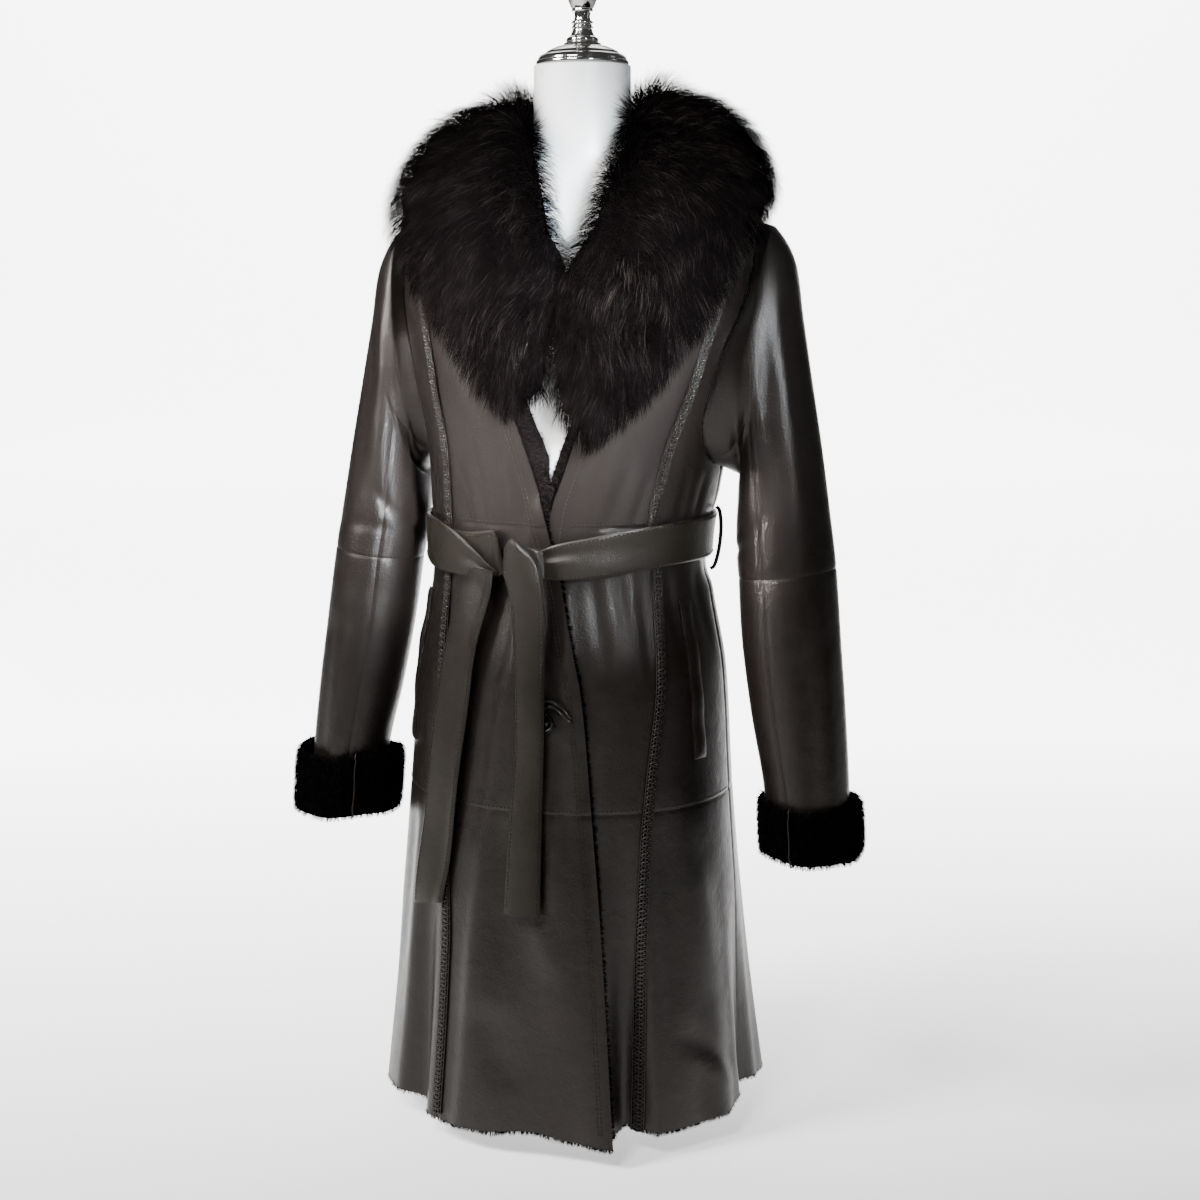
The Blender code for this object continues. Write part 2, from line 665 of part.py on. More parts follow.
def collar_half(name, lobe, trees):
    """One half of the shawl collar: a thick crowned band that lies on the coat."""
    start = COLLAR_PART if lobe.side > 0 else 0.0
    ground = {}
    for i in range(COLLAR_STATIONS + 1):
        for j in range(COLLAR_STEPS + 1):
            place = mix(start, lobe.last, i / COLLAR_STATIONS)
            ground[i, j] = ground_radius(trees, collar_direction(lobe, place, j / COLLAR_STEPS))

    def base_radius(i, j):
        """The highest ground among a point's neighbours, so that no facet cuts the coat."""
        near = [ground[k, m] for k in (i - 1, i, i + 1) for m in (j - 1, j, j + 1)
                if (k, m) in ground]
        return max(near) + COLLAR_GAP

    def point(a, b):
        i = round(a * COLLAR_STATIONS)
        count = 2 * (COLLAR_STEPS + 1)
        around = round(b * count) % count
        on_top = around > COLLAR_STEPS
        j = count - 1 - around if on_top else around
        place = mix(start, lobe.last, i / COLLAR_STATIONS)
        across = j / COLLAR_STEPS
        radius = base_radius(i, j) + (collar_height(lobe, place, across) if on_top else 0.0)
        return COLLAR_HEART + collar_direction(lobe, place, across) * radius

    bm = grid_mesh(point, COLLAR_STATIONS, 2 * (COLLAR_STEPS + 1), close_rows=True)
    return finish(name, capped(bm), "long_fur")


# ---------------------------------------------------------------- belt
def belt_lift(angle):
    """The belt lies over the overlapping front and the braid."""
    wrapped = (angle + 180.0) % 360.0 - 180.0
    on_front = smooth_step((wrapped + 20.0) / 8.0) * smooth_step((30.0 - wrapped) / 10.0)
    return BELT_LIFT + BELT_OVER_FRONT * on_front


def belt_middle_z(angle):
    """The belt rides up a little towards the back."""
    return BELT_Z + 0.008 * math.sin(math.radians(angle) / 2.0) ** 2


def belt_half_width(angle):
    """The belt is gathered where it enters the knot."""
    away = min(abs(angle - KNOT_ANGLE), abs(angle - 360.0 - KNOT_ANGLE))
    return BELT_WIDTH / 2.0 * mix(0.62, 1.0, smooth_step((away - 4.0) / 20.0))


def belt_band():
    first = KNOT_ANGLE + 3.0
    last = KNOT_ANGLE + 357.0

    def point(a, b, depth):
        angle = mix(first, last, a)
        z = belt_middle_z(angle) + belt_half_width(angle) * (2.0 * b - 1.0)
        return coat_point(angle, z, belt_lift(angle) - depth)

    return wall("belt_band", point, 52, 2, "belt_leather")


def belt_knot():
    """The short turn of belt that holds the two ends."""
    def point(a, b, depth):
        angle = mix(-14.5, 1.0, a)
        z = mix(0.596, 0.642, b)
        hump = math.sin(math.pi * mix(0.08, 0.92, a)) ** 0.6
        return coat_point(angle, z, 0.0162 + 0.0012 * hump - depth)

    return wall("belt_knot", point, 6, 4, "belt_leather")


def front_tail():
    """The belt end that turns over the knot and hangs at the front."""
    last = len(FRONT_TAIL) - 1

    def spot(a, b):
        row = along(FRONT_TAIL, mix(last, 0.0, b))
        crown = 0.0055 * (1.0 - (2.0 * a - 1.0) ** 2)
        return coat_point(mix(row.left, row.right, a), row.z, row.lift + crown)

    def point(a, b, depth):
        across = spot(a + 0.05, b) - spot(a - 0.05, b)
        upwards = spot(a, min(b + 0.01, 1.0)) - spot(a, max(b - 0.01, 0.0))
        return spot(a, b) - across.cross(upwards).normalized() * depth

    return wall("belt_tail_front", point, 4, 20, "belt_leather")


def tube_angle(point):
    """The angle round the tube at which a point lies."""
    section = at_height(SECTIONS, point.z)
    x = (point.x - section.centre_x) / section.half_width
    y = -point.y / (section.front if point.y < 0 else section.back)
    sine = math.copysign(abs(x) ** (1.0 / ROUNDING), x)
    cosine = math.copysign(abs(y) ** (1.0 / ROUNDING), y)
    return math.degrees(math.atan2(sine, cosine))


def kept_clear(point, gap):
    """Push a hanging piece's point out until it clears the coat by the gap."""
    for _ in range(3):
        angle = tube_angle(point)
        lift = gap + (over_lift(angle, point.z) if angle > -45.0 else 0.0)
        on_coat = coat_point(angle, point.z, lift)
        outwards = tube_normal(angle, point.z)
        short = (on_coat - point).dot(outwards)
        if short > 0.0:
            point = point + outwards * short
    return point


def side_tail():
    """The belt end that hangs flat from under the knot towards the wearer's right."""
    last = len(SIDE_TAIL) - 1
    turn = math.radians(SIDE_TAIL_TURN)
    across = Vector((math.cos(turn), math.sin(turn), 0.0))

    def point(a, b, depth):
        row = along(SIDE_TAIL, mix(last, 0.0, b))
        middle = coat_point(row.angle, row.z, row.lift)
        slant = -0.010 * (1.0 - a) * (1.0 - b) ** 4
        spot = middle + across * (2.0 * a - 1.0) * row.half_width + Vector((0.0, 0.0, slant))
        return kept_clear(spot, 0.0085) - tube_normal(row.angle, row.z) * depth

    return wall("belt_tail_side", point, 3, 13, "belt_leather")


def cord(name, points, radius, stuff):
    """A round strip along a few points."""
    curve = bpy.data.curves.new(name, "CURVE")
    curve.dimensions = "3D"
    curve.bevel_depth = radius
    curve.bevel_resolution = 1
    curve.use_fill_caps = True
    spline = curve.splines.new("POLY")
    spline.points.add(len(points) - 1)
    for spot, place in zip(spline.points, points):
        spot.co = (*place, 1.0)
    curve.materials.append(material(stuff))
    made = bpy.data.objects.new(name, curve)
    bpy.context.scene.collection.objects.link(made)
    return made


def belt_loops():
    """A thin loop stands off near each side seam, round the belt."""
    for name, angle in (("left", 84.0), ("right", -118.0)):
        points = []
        steps = 10
        for i in range(steps + 1):
            share = i / steps
            z = belt_middle_z(angle) + mix(0.033, -0.033, share)
            lift = 0.0022 + 0.0115 * math.sin(math.pi * share) ** 0.45
            points.append(coat_point(angle, z, lift))
        cord(f"belt_loop_{name}", points, LOOP_RADIUS, "belt_leather")


# ---------------------------------------------------------------- braid, pockets and button
def braid(name, seam_angle):
    """A laced leather strip that covers a front seam from hem to collar."""
    def point(a, b, depth):
        z = mix(HEM_Z + 0.004, BRAID_TOP_Z, b)
        angle = seam_angle(z)
        half = math.degrees(BRAID_WIDTH / 2.0 / at_height(SECTIONS, z).half_width)
        lift = mix(0.0056, 0.0042, smooth_step(z / 0.25))
        return coat_point(angle + (2.0 * a - 1.0) * half, z, lift - depth)

    return wall(name, point, 2, 32, "braid_leather", BRAID_THICKNESS)


def pocket_welt(name, inner_angle, outer_angle):
    """The raised lip of a slanted side pocket."""
    def point(a, b, depth):
        z = mix(0.408, 0.572, b)
        slant = mix(1.0, 0.0, b) * math.copysign(1.5, outer_angle)
        return coat_point(mix(inner_angle, outer_angle, a) + slant, z, 0.0048 - depth)

    return wall(name, point, 3, 8, "leather")


def turned(name, profile, stuff, place=Vector((0, 0, 0)), axis=Vector((0, 0, 1)), steps=16):
    """A turned piece: a profile of radius and height, spun round its axis."""
    bm = bmesh.new()
    points = [bm.verts.new((radius, 0.0, height)) for radius, height in profile]
    edges = [bm.edges.new(pair) for pair in zip(points, points[1:])]
    bmesh.ops.spin(bm, geom=points + edges, cent=(0, 0, 0), axis=(0, 0, 1), angle=math.tau,
                   steps=steps, use_merge=True)
    bmesh.ops.remove_doubles(bm, verts=bm.verts, dist=1e-6)
    bmesh.ops.recalc_face_normals(bm, faces=bm.faces)
    turn = Vector((0, 0, 1)).rotation_difference(axis).to_matrix()
    for vertex in bm.verts:
        vertex.co = turn @ vertex.co + place
    return finish(name, bm, stuff)


def button():
    seat = coat_point(BUTTON_ANGLE, BUTTON_Z, over_lift(BUTTON_ANGLE, BUTTON_Z) + 0.0008)
    out = tube_normal(BUTTON_ANGLE, BUTTON_Z)
    profile = [(0.0, 0.0), (0.0035, 0.0), (0.0035, 0.0025), (0.0092, 0.0030), (0.0098, 0.0042),
               (0.0092, 0.0056), (0.0070, 0.0060), (0.0062, 0.0050), (0.0, 0.0056)]
    turned("button", profile, "button_metal", seat, out, steps=14)
    points = []
    steps = 14
    for i in range(steps + 1):
        turn = math.tau * (i / steps - 0.5) * 0.86
        x = 0.0062 * math.sin(turn)
        z = 0.0185 * math.cos(turn) * 0.5
        angle = BUTTON_ANGLE + math.degrees(x / 0.142)
        height = BUTTON_Z + 0.0205 + z
        points.append(coat_point(angle, height, over_lift(angle, height) + 0.0024))
    cord("button_loop", points, 0.0015, "braid_leather")


# ---------------------------------------------------------------- the dress form and its stand
def form_torso():
    """A smooth limbless form from the hips to the top of the neck."""
    FormRow = namedtuple("FormRow", "z centre_x half_width front back")
    rows = []
    for z in (FORM_LOW_Z, 0.420, 0.480, 0.560, 0.605, 0.660, 0.740, 0.810, 0.880, 0.930):
        section = at_height(SECTIONS, z)
        pull = FORM_INSET + (0.030 if z == FORM_LOW_Z else 0.0)
        rows.append(FormRow(z, section.centre_x, section.half_width - pull,
                            section.front - pull, section.back - pull))
    rows += [
        FormRow(0.955, 0.0, 0.150, 0.088, 0.088),
        FormRow(0.975, 0.0, 0.104, 0.072, 0.076),
        FormRow(0.992, 0.0, 0.070, 0.058, 0.062),
        FormRow(1.012, 0.0, 0.055, 0.052, 0.054),
        FormRow(1.050, 0.0, 0.0505, 0.0505, 0.0505),
        FormRow(FORM_TOP_Z, 0.0, NECK_RADIUS, NECK_RADIUS, NECK_RADIUS),
    ]

    def point(a, b):
        row = rows[round(b * (len(rows) - 1))]
        turn = math.tau * a
        depth = row.front if math.cos(turn) > 0 else row.back
        return Vector((row.centre_x + row.half_width * math.sin(turn),
                       -depth * math.cos(turn), row.z))

    bm = grid_mesh(point, 24, len(rows) - 1, close_columns=True)
    return finish("form_torso", capped(bm), "form_white")


def form_stand():
    cap_z = FORM_TOP_Z + 0.001
    cap = [(0.0, 0.0), (0.0480, 0.0), (0.0480, 0.004), (0.0440, 0.009), (0.0380, 0.011),
           (0.0360, 0.014), (0.0280, 0.018), (0.0200, 0.0195), (0.0190, 0.022), (0.0, 0.022)]
    turned("form_neck_cap", cap, "chrome", Vector((0, 0, cap_z)), steps=24)
    stem_z = cap_z + 0.022 + SEAM
    stem = [(0.0, 0.0), (0.0160, 0.0), (0.0165, 0.005), (0.0120, 0.008), (0.0105, 0.012),
            (0.0112, 0.015), (0.0100, 0.017), (0.0112, 0.020), (0.0082, 0.024), (0.0085, 0.030),
            (0.0, 0.030)]
    turned("form_finial_stem", stem, "chrome", Vector((0, 0, stem_z)), steps=16)
    knob_z = stem_z + 0.030 + SEAM
    knob = [(0.0, 0.0), (0.0105, 0.0), (0.0120, 0.004), (0.0150, 0.012), (0.0180, 0.022),
            (0.0185, 0.030), (0.0150, 0.040), (0.0080, 0.046), (0.0, 0.048)]
    turned("form_finial", knob, "chrome", Vector((0, 0, knob_z)), steps=16)
    base = [(0.0, 0.0), (BASE_RADIUS, 0.0), (BASE_RADIUS, 0.005), (BASE_RADIUS - 0.004, 0.009),
            (0.040, BASE_HEIGHT), (0.0, BASE_HEIGHT)]
    turned("form_base", base, "base_steel", steps=32)
    pole_low = BASE_HEIGHT + SEAM
    pole_high = FORM_LOW_Z - SEAM
    pole = [(0.0, pole_low), (0.030, pole_low), (0.028, pole_low + 0.006), (POLE_RADIUS, 0.024),
            (POLE_RADIUS, pole_high), (0.0, pole_high)]
    turned("form_pole", pole, "base_steel", steps=16)


def build():
    clear_scene()
    panels = body_panels()
    sleeve_pieces = sleeves()
    torso = form_torso()
    trees = world_trees(panels + sleeve_pieces + [torso])
    for name, lobe in LOBES.items():
        collar_half(f"collar_{name}", lobe, trees)
    belt_band()
    belt_knot()
    front_tail()
    side_tail()
    belt_loops()
    braid("braid_right", front_seam_right)
    braid("braid_left", front_seam_left)
    pocket_welt("pocket_welt_left", 60.0, 67.5)
    pocket_welt("pocket_welt_right", -67.5, -60.0)
    button()
    form_stand()


build()
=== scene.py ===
# %% [markdown]
# # A belted lambskin coat with a fur collar, on a dress form
# The coat is cut from dark lambskin worn skin side out: a smooth leather face outside, short pile
# inside. Every panel is a stretch of one smooth tube round the form. The same tables that shaped the
# plain solids shape the fine pieces here, so the two agree everywhere, and only the detail is new:
# rounded seams, creases, stitches, laced braid, pile at the raw edges and long fur on the collar.

# %% Tools and the imported frame
import math
from collections import namedtuple

import bmesh
import bpy
import numpy as np
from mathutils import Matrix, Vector
from mathutils.bvhtree import BVHTree
from mathutils.kdtree import KDTree


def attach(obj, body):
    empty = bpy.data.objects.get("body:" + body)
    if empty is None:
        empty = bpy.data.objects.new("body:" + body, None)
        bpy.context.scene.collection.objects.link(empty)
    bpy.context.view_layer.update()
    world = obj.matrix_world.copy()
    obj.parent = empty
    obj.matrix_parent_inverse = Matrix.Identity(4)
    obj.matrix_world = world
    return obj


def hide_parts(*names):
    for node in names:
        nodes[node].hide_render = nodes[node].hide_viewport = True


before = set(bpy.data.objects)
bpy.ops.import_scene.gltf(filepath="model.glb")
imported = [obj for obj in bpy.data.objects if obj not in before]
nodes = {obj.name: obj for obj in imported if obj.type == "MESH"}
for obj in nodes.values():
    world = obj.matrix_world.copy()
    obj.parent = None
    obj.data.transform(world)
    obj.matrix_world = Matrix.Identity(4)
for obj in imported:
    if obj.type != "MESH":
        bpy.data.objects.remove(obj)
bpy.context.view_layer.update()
print("nodes in the frame:", len(nodes))

# %% [markdown]
# ## The tables behind the coat
# A pattern cutter works from a few measures at named heights. Here each table lists such measures,
# and a curve that never overshoots runs through them. Everything is an array of numbers, so that a
# whole panel is worked out in one go.

# %% Driving sizes and tables
WALL = 0.003                # leather and pile together
SEAM = 0.0003               # between the parts of the form and stand
HEM_Z = 0.02
KNEE_SEAM_Z = 0.36
WAIST_SEAM_Z = 0.65
SHOULDER_Z = 0.955
NECK_Z = 1.012
UNDERARM_Z = 0.705
BELT_WIDTH = 0.045
OVERLAP = 0.0018            # room between the two fronts
FLAP = 0.012                # how far the free corner of the front stands off
ROUNDING = 0.92             # fuller than an ellipse
ABOUT_RADIUS = 0.16         # turns an angle into a length across the leather
STROKE_TAIL = 0.15          # how far past its ends a crease runs out, as a share of its length


class HeightTable:
    """Columns of numbers read at any height, on curves that never overshoot their rows."""

    def __init__(self, *rows):
        self.rows = np.array(rows, float)
        self.z = self.rows[:, 0]
        rise = np.diff(self.rows[:, 1:], axis=0) / np.diff(self.z)[:, None]
        slope = np.empty_like(self.rows[:, 1:])
        slope[0], slope[-1] = rise[0], rise[-1]
        product = rise[:-1] * rise[1:]
        total = np.where(product > 0, rise[:-1] + rise[1:], 1.0)
        slope[1:-1] = np.where(product > 0, 2.0 * product / total, 0.0)
        self.slope = slope

    def __call__(self, z):
        z = np.clip(z, self.z[0], self.z[-1])
        i = np.clip(np.searchsorted(self.z, z, side="right") - 1, 0, len(self.z) - 2)
        step = self.z[i + 1] - self.z[i]
        share = ((z - self.z[i]) / step)[..., None]
        step = step[..., None]
        low, high = self.rows[i, 1:], self.rows[i + 1, 1:]
        value = ((1 + 2 * share) * (1 - share) ** 2 * low
                 + share * (1 - share) ** 2 * step * self.slope[i]
                 + share * share * (3 - 2 * share) * high
                 + share * share * (share - 1) * step * self.slope[i + 1])
        return np.moveaxis(value, -1, 0)


# height, centre x, half width, depth to the front, depth to the back
SECTIONS = HeightTable(
    (0.02, -0.014, 0.207, 0.186, 0.15), (0.16, -0.014, 0.1925, 0.168, 0.142),
    (0.36, -0.013, 0.1755, 0.15, 0.131), (0.49, -0.012, 0.1665, 0.138, 0.124),
    (0.605, -0.012, 0.1495, 0.122, 0.101), (0.71, -0.006, 0.1575, 0.134, 0.108),
    (0.81, -0.002, 0.178, 0.146, 0.116), (0.89, 0.0, 0.19, 0.134, 0.116),
    (0.955, 0.0, 0.188, 0.104, 0.104), (0.985, 0.0, 0.143, 0.079, 0.091),
    (1.012, 0.0, 0.078, 0.058, 0.076))
# height, edge of the front that lies over, edge of the front beneath, in degrees round the coat
FRONT_EDGES = HeightTable(
    (0.02, 25.5, -14.0), (0.222, 23.0, -11.5), (0.38, 19.2, -8.0), (0.478, 16.0, -5.0),
    (0.532, 12.5, -2.0), (0.595, 8.5, 1.0), (0.638, 4.6, 3.0), (0.672, 1.5, 4.7),
    (0.7, -1.0, 7.8), (0.752, -6.5, 13.5), (0.8, -12.0, 21.0), (0.86, -24.0, 33.0),
    (0.955, -46.0, 54.0), (1.012, -62.0, 66.0))
FRONT_SEAMS = HeightTable(
    (0.02, -26.0, 35.0), (0.205, -27.0, 36.5), (0.325, -31.5, 39.0), (0.4, -35.0, 42.0),
    (0.5, -39.0, 47.0), (0.6, -43.5, 49.0), (0.65, -42.0, 45.0), (0.718, -42.0, 48.0),
    (0.79, -42.5, 54.0), (0.86, -45.0, 58.0), (0.955, -58.0, 64.0), (1.012, -76.0, 78.0))
BACK_SEAMS = HeightTable(
    (0.02, 140.0), (0.4, 142.0), (0.605, 146.0), (0.76, 138.0), (0.86, 133.0),
    (0.955, 124.0), (1.012, 106.0))
ARMHOLE = HeightTable(
    (0.705, 0.0), (0.712, 13.0), (0.728, 21.0), (0.76, 26.0), (0.81, 25.0), (0.86, 19.0),
    (0.905, 12.0), (0.94, 5.5), (0.955, 0.0))
Fold = namedtuple("Fold", "angle half_width depth start_z under_only")
FOLDS = [Fold(*row) for row in (
    (-39, 9.5, -0.024, 0.36, False), (-72, 10.0, -0.008, 0.24, False),
    (31, 10.5, -0.033, 0.37, True), (66, 10.0, 0.009, 0.22, False),
    (88, 11.0, -0.018, 0.26, False), (112, 13.0, 0.012, 0.4, False),
    (136, 11.0, -0.016, 0.34, False), (161, 12.0, 0.01, 0.36, False),
    (187, 11.0, -0.013, 0.3, False), (212, 13.0, 0.01, 0.36, False),
    (237, 11.0, -0.016, 0.36, False), (261, 12.0, 0.009, 0.3, False))]
HEM_RISES = np.array([
    (-180, 0.008), (-140, 0.003), (-105, 0.01), (-75, 0.011), (-46, 0.012), (-33, 0.006),
    (-22, 0.004), (-10, 0.005), (3, 0.012), (14, 0.005), (25.5, 0.0), (32, 0.011), (40, 0.007),
    (54, 0.008), (66, 0.01), (82, 0.014), (110, 0.006), (145, 0.01), (180, 0.008)])


# %% Small helpers on arrays
def smooth_step(value):
    value = np.clip(value, 0.0, 1.0)
    return value * value * (3.0 - 2.0 * value)


def mix(a, b, share):
    return a + (b - a) * share


def unit(vectors):
    return vectors / np.maximum(np.linalg.norm(vectors, axis=-1, keepdims=True), 1e-9)


def around(angle):
    """An angle brought between -180 and 180 degrees."""
    return (angle + 180.0) % 360.0 - 180.0


def fuller(value):
    return np.copysign(np.abs(value) ** ROUNDING, value)


# %% The coat's tube, its folds and its hem
def tube_point(angle, z):
    angle, z = np.broadcast_arrays(np.asarray(angle, float), np.asarray(z, float))
    centre, half_width, front, back = SECTIONS(z)
    turn = np.radians(angle)
    depth = np.where(np.cos(turn) > 0, front, back)
    x = centre + half_width * fuller(np.sin(turn))
    return np.stack([x, -depth * fuller(np.cos(turn)), z], axis=-1)


def tube_normal(angle, z):
    side = tube_point(angle + 1.0, z) - tube_point(angle - 1.0, z)
    rise = (tube_point(angle, np.clip(z + 0.004, HEM_Z, NECK_Z))
            - tube_point(angle, np.clip(z - 0.004, HEM_Z, NECK_Z)))
    return unit(np.cross(side, rise))


def fold_depth(angle, z, over_layer=False):
    total = np.zeros(np.broadcast(angle, z).shape)
    for fold in FOLDS:
        if fold.under_only and over_layer:
            continue
        away = np.clip(around(angle - fold.angle) / fold.half_width, -1.0, 1.0)
        height = np.clip((fold.start_z - z) / (fold.start_z - HEM_Z), 0.0, None)
        total += fold.depth * np.cos(0.5 * np.pi * away) ** 2 * height ** 1.25
    return total


def hem_rise(angle):
    wrapped = around(np.asarray(angle, float))
    i = np.clip(np.searchsorted(HEM_RISES[:, 0], wrapped, side="right") - 1, 0, len(HEM_RISES) - 2)
    low, high = HEM_RISES[i], HEM_RISES[i + 1]
    share = smooth_step((wrapped - low[..., 0]) / (high[..., 0] - low[..., 0]))
    return mix(low[..., 1], high[..., 1], share)


def over_lift(angle, z):
    """How far the overlapping front stands off the tube."""
    over, under = FRONT_EDGES(z)
    low_down = smooth_step((0.7 - z) / 0.035)
    onto_under = smooth_step((angle - under + 9.0) / 6.0)
    at_edge = smooth_step((angle - over + 14.0) / 14.0)
    flap = FLAP * np.clip((0.35 - z) / 0.33, 0.0, 1.0) ** 2 * at_edge
    return (WALL + OVERLAP) * low_down * onto_under + flap


# %% [markdown]
# ## Creases
# Lambskin is thick and soft: it doesn't crumple, it rolls. So each crease is a shallow rounded valley
# or ridge between two points on the coat, placed one by one where the photograph shows it: pulled
# lines above and below the belt, the deep roll that runs from the belt to the button, and slack rolls
# in the skirt. The sides and the back have like ones, none the same.

# %% Creases on the body, as angle and height at both ends, half width and depth in metres
Crease = namedtuple("Crease", "angle_a z_a angle_b z_b half_width depth")
CREASES = [Crease(*row) for row in (
    # the overlapping front, above the belt
    (-11, 0.655, -15, 0.735, 0.0065, -0.0022), (-19, 0.652, -27, 0.72, 0.007, -0.002),
    (-28, 0.652, -35, 0.7, 0.006, -0.0016), (-5, 0.655, -7, 0.705, 0.005, -0.0016),
    (-24, 0.655, -20, 0.76, 0.011, 0.0016),
    # the waist is drawn in under the belt at the wearer's left
    (98, 0.585, 98, 0.665, 0.042, -0.0065),
    # below the belt on the overlapping front
    (4.0, 0.6, 5.2, 0.492, 0.0085, -0.0042), (5.2, 0.5, 8.5, 0.452, 0.006, -0.0035),
    (9.5, 0.59, 12.5, 0.5, 0.006, 0.0022), (-15, 0.6, -19, 0.53, 0.007, -0.0024),
    (-24, 0.598, -30, 0.52, 0.007, -0.002), (-33, 0.598, -37, 0.5, 0.008, -0.002),
    (0.5, 0.44, 7.0, 0.36, 0.009, -0.0022), (8.0, 0.44, 12.5, 0.33, 0.01, -0.002),
    (-3, 0.35, -6, 0.17, 0.02, -0.0058), (-15, 0.35, -17, 0.1, 0.019, 0.0042),
    (3, 0.25, 9, 0.19, 0.011, 0.0024), (-10, 0.15, -4, 0.07, 0.018, -0.003),
    (9, 0.32, 13, 0.06, 0.019, 0.0046), (19, 0.42, 21, 0.23, 0.008, -0.0022),
    # the wearer's left front and side front
    (16, 0.655, 22, 0.745, 0.007, -0.0022), (26, 0.652, 34, 0.73, 0.007, -0.0022),
    (36, 0.652, 42, 0.705, 0.006, -0.0018), (20, 0.66, 29, 0.79, 0.012, 0.0018),
    (20, 0.598, 25, 0.5, 0.0075, -0.0024), (31, 0.598, 35, 0.52, 0.007, -0.0022),
    (41, 0.598, 43, 0.49, 0.008, -0.002), (55, 0.598, 60, 0.5, 0.008, -0.0022),
    (46, 0.35, 48, 0.1, 0.017, -0.0036), (50, 0.128, 80, 0.068, 0.0105, -0.0024),
    (54, 0.1, 78, 0.042, 0.011, 0.002), (62, 0.3, 66, 0.17, 0.018, 0.0034),
    (58, 0.652, 62, 0.72, 0.007, -0.002), (70, 0.652, 74, 0.705, 0.007, -0.002),
    (74, 0.598, 80, 0.52, 0.009, -0.0024), (56, 0.33, 60, 0.12, 0.016, 0.0022),
    # the wearer's right side
    (-52, 0.652, -56, 0.73, 0.007, -0.002), (-63, 0.652, -70, 0.712, 0.007, -0.0022),
    (-55, 0.598, -60, 0.51, 0.008, -0.0022), (-70, 0.598, -78, 0.5, 0.009, -0.0024),
    (-56, 0.35, -58, 0.1, 0.016, -0.0026), (-48, 0.33, -47, 0.11, 0.012, 0.002),
    (-84, 0.598, -88, 0.52, 0.008, -0.002), (-80, 0.34, -84, 0.15, 0.015, -0.0022),
    # the back
    (118, 0.655, 122, 0.735, 0.008, -0.0024), (132, 0.655, 134, 0.745, 0.008, -0.002),
    (156, 0.655, 152, 0.76, 0.008, -0.0026), (171, 0.655, 168, 0.725, 0.008, -0.0022),
    (186, 0.655, 190, 0.745, 0.008, -0.0024), (203, 0.655, 209, 0.755, 0.008, -0.0026),
    (226, 0.655, 228, 0.735, 0.008, -0.0022), (243, 0.655, 248, 0.725, 0.008, -0.0022),
    (107, 0.598, 104, 0.5, 0.009, -0.0024), (127, 0.598, 128, 0.48, 0.01, -0.0026),
    (150, 0.598, 146, 0.505, 0.009, -0.0022), (166, 0.598, 163, 0.47, 0.011, -0.0028),
    (184, 0.598, 186, 0.5, 0.009, -0.0022), (199, 0.598, 204, 0.46, 0.011, -0.0026),
    (219, 0.598, 223, 0.5, 0.009, -0.0024), (241, 0.598, 243, 0.49, 0.01, -0.0026),
    (160, 0.85, 176, 0.905, 0.01, -0.0018), (196, 0.895, 212, 0.835, 0.01, -0.0018),
    (120, 0.79, 132, 0.85, 0.009, -0.002), (238, 0.785, 227, 0.85, 0.009, -0.002))]


def stroke_sum(strokes, away_from, along_it, head, tail):
    """Sums rounded strokes, each from one point to another; they fade out at both ends."""
    total = 0.0
    for ax, az, bx, bz, half_width, depth in strokes:
        away, dx, dz = away_from(ax), bx - ax, bz - az
        share = (away * dx + (along_it - az) * dz) / (dx * dx + dz * dz)
        held = np.clip(share, -STROKE_TAIL, 1.0 + STROKE_TAIL)
        distance = np.hypot(away - held * dx, along_it - az - held * dz)
        fade = (smooth_step((held + STROKE_TAIL) / head)
                * smooth_step((1.0 + STROKE_TAIL - held) / tail))
        total = total + depth * fade * np.exp(-(distance / half_width) ** 2)
    return total


def crease_depth(angle, z):
    """The sum of all creases at a point, measured in metres round the tube."""
    across = np.radians(around(angle)) * ABOUT_RADIUS
    half_turn = math.pi * ABOUT_RADIUS
    strokes = []
    for crease in CREASES:
        start = math.radians(around(crease.angle_a)) * ABOUT_RADIUS
        run = math.radians(around(crease.angle_b - crease.angle_a)) * ABOUT_RADIUS
        strokes.append((start, crease.z_a, start + run, crease.z_b, crease.half_width, crease.depth))

    def away_from(start):
        return (across - start + half_turn) % (2.0 * half_turn) - half_turn

    return stroke_sum(strokes, away_from, z, 0.35, 0.6)


def coat_point(angle, z, lift=0.0, over_layer=False):
    """A point on the leather's outer face, moved outwards by lift."""
    return plain_coat_point(angle, z, lift + crease_depth(angle, z), over_layer)


def plain_coat_point(angle, z, lift=0.0, over_layer=False):
    """The same without creases, for what lies on the leather and bridges them."""
    outwards = np.asarray(lift + fold_depth(angle, z, over_layer))
    return tube_point(angle, z) + tube_normal(angle, z) * outwards[..., None]


# %% [markdown]
# ## Finishes
# Shader maths reads best as maths. A small class wraps a socket, so that adding two wires adds the
# Math node between them, and any other node comes from one method.

# %% A wire that can be added and multiplied
class Wire:
    """A socket that takes part in plain arithmetic."""

    def __init__(self, finish, socket):
        self.finish = finish
        self.socket = socket

    def maths(self, operation, *others):
        return self.finish.node("ShaderNodeMath", {"operation": operation},
                                **{f"n{i}": other for i, other in enumerate(others)})

    def __add__(self, other):
        return self.maths("ADD", self, other)

    __radd__ = __add__

    def __mul__(self, other):
        return self.maths("MULTIPLY", self, other)

    __rmul__ = __mul__


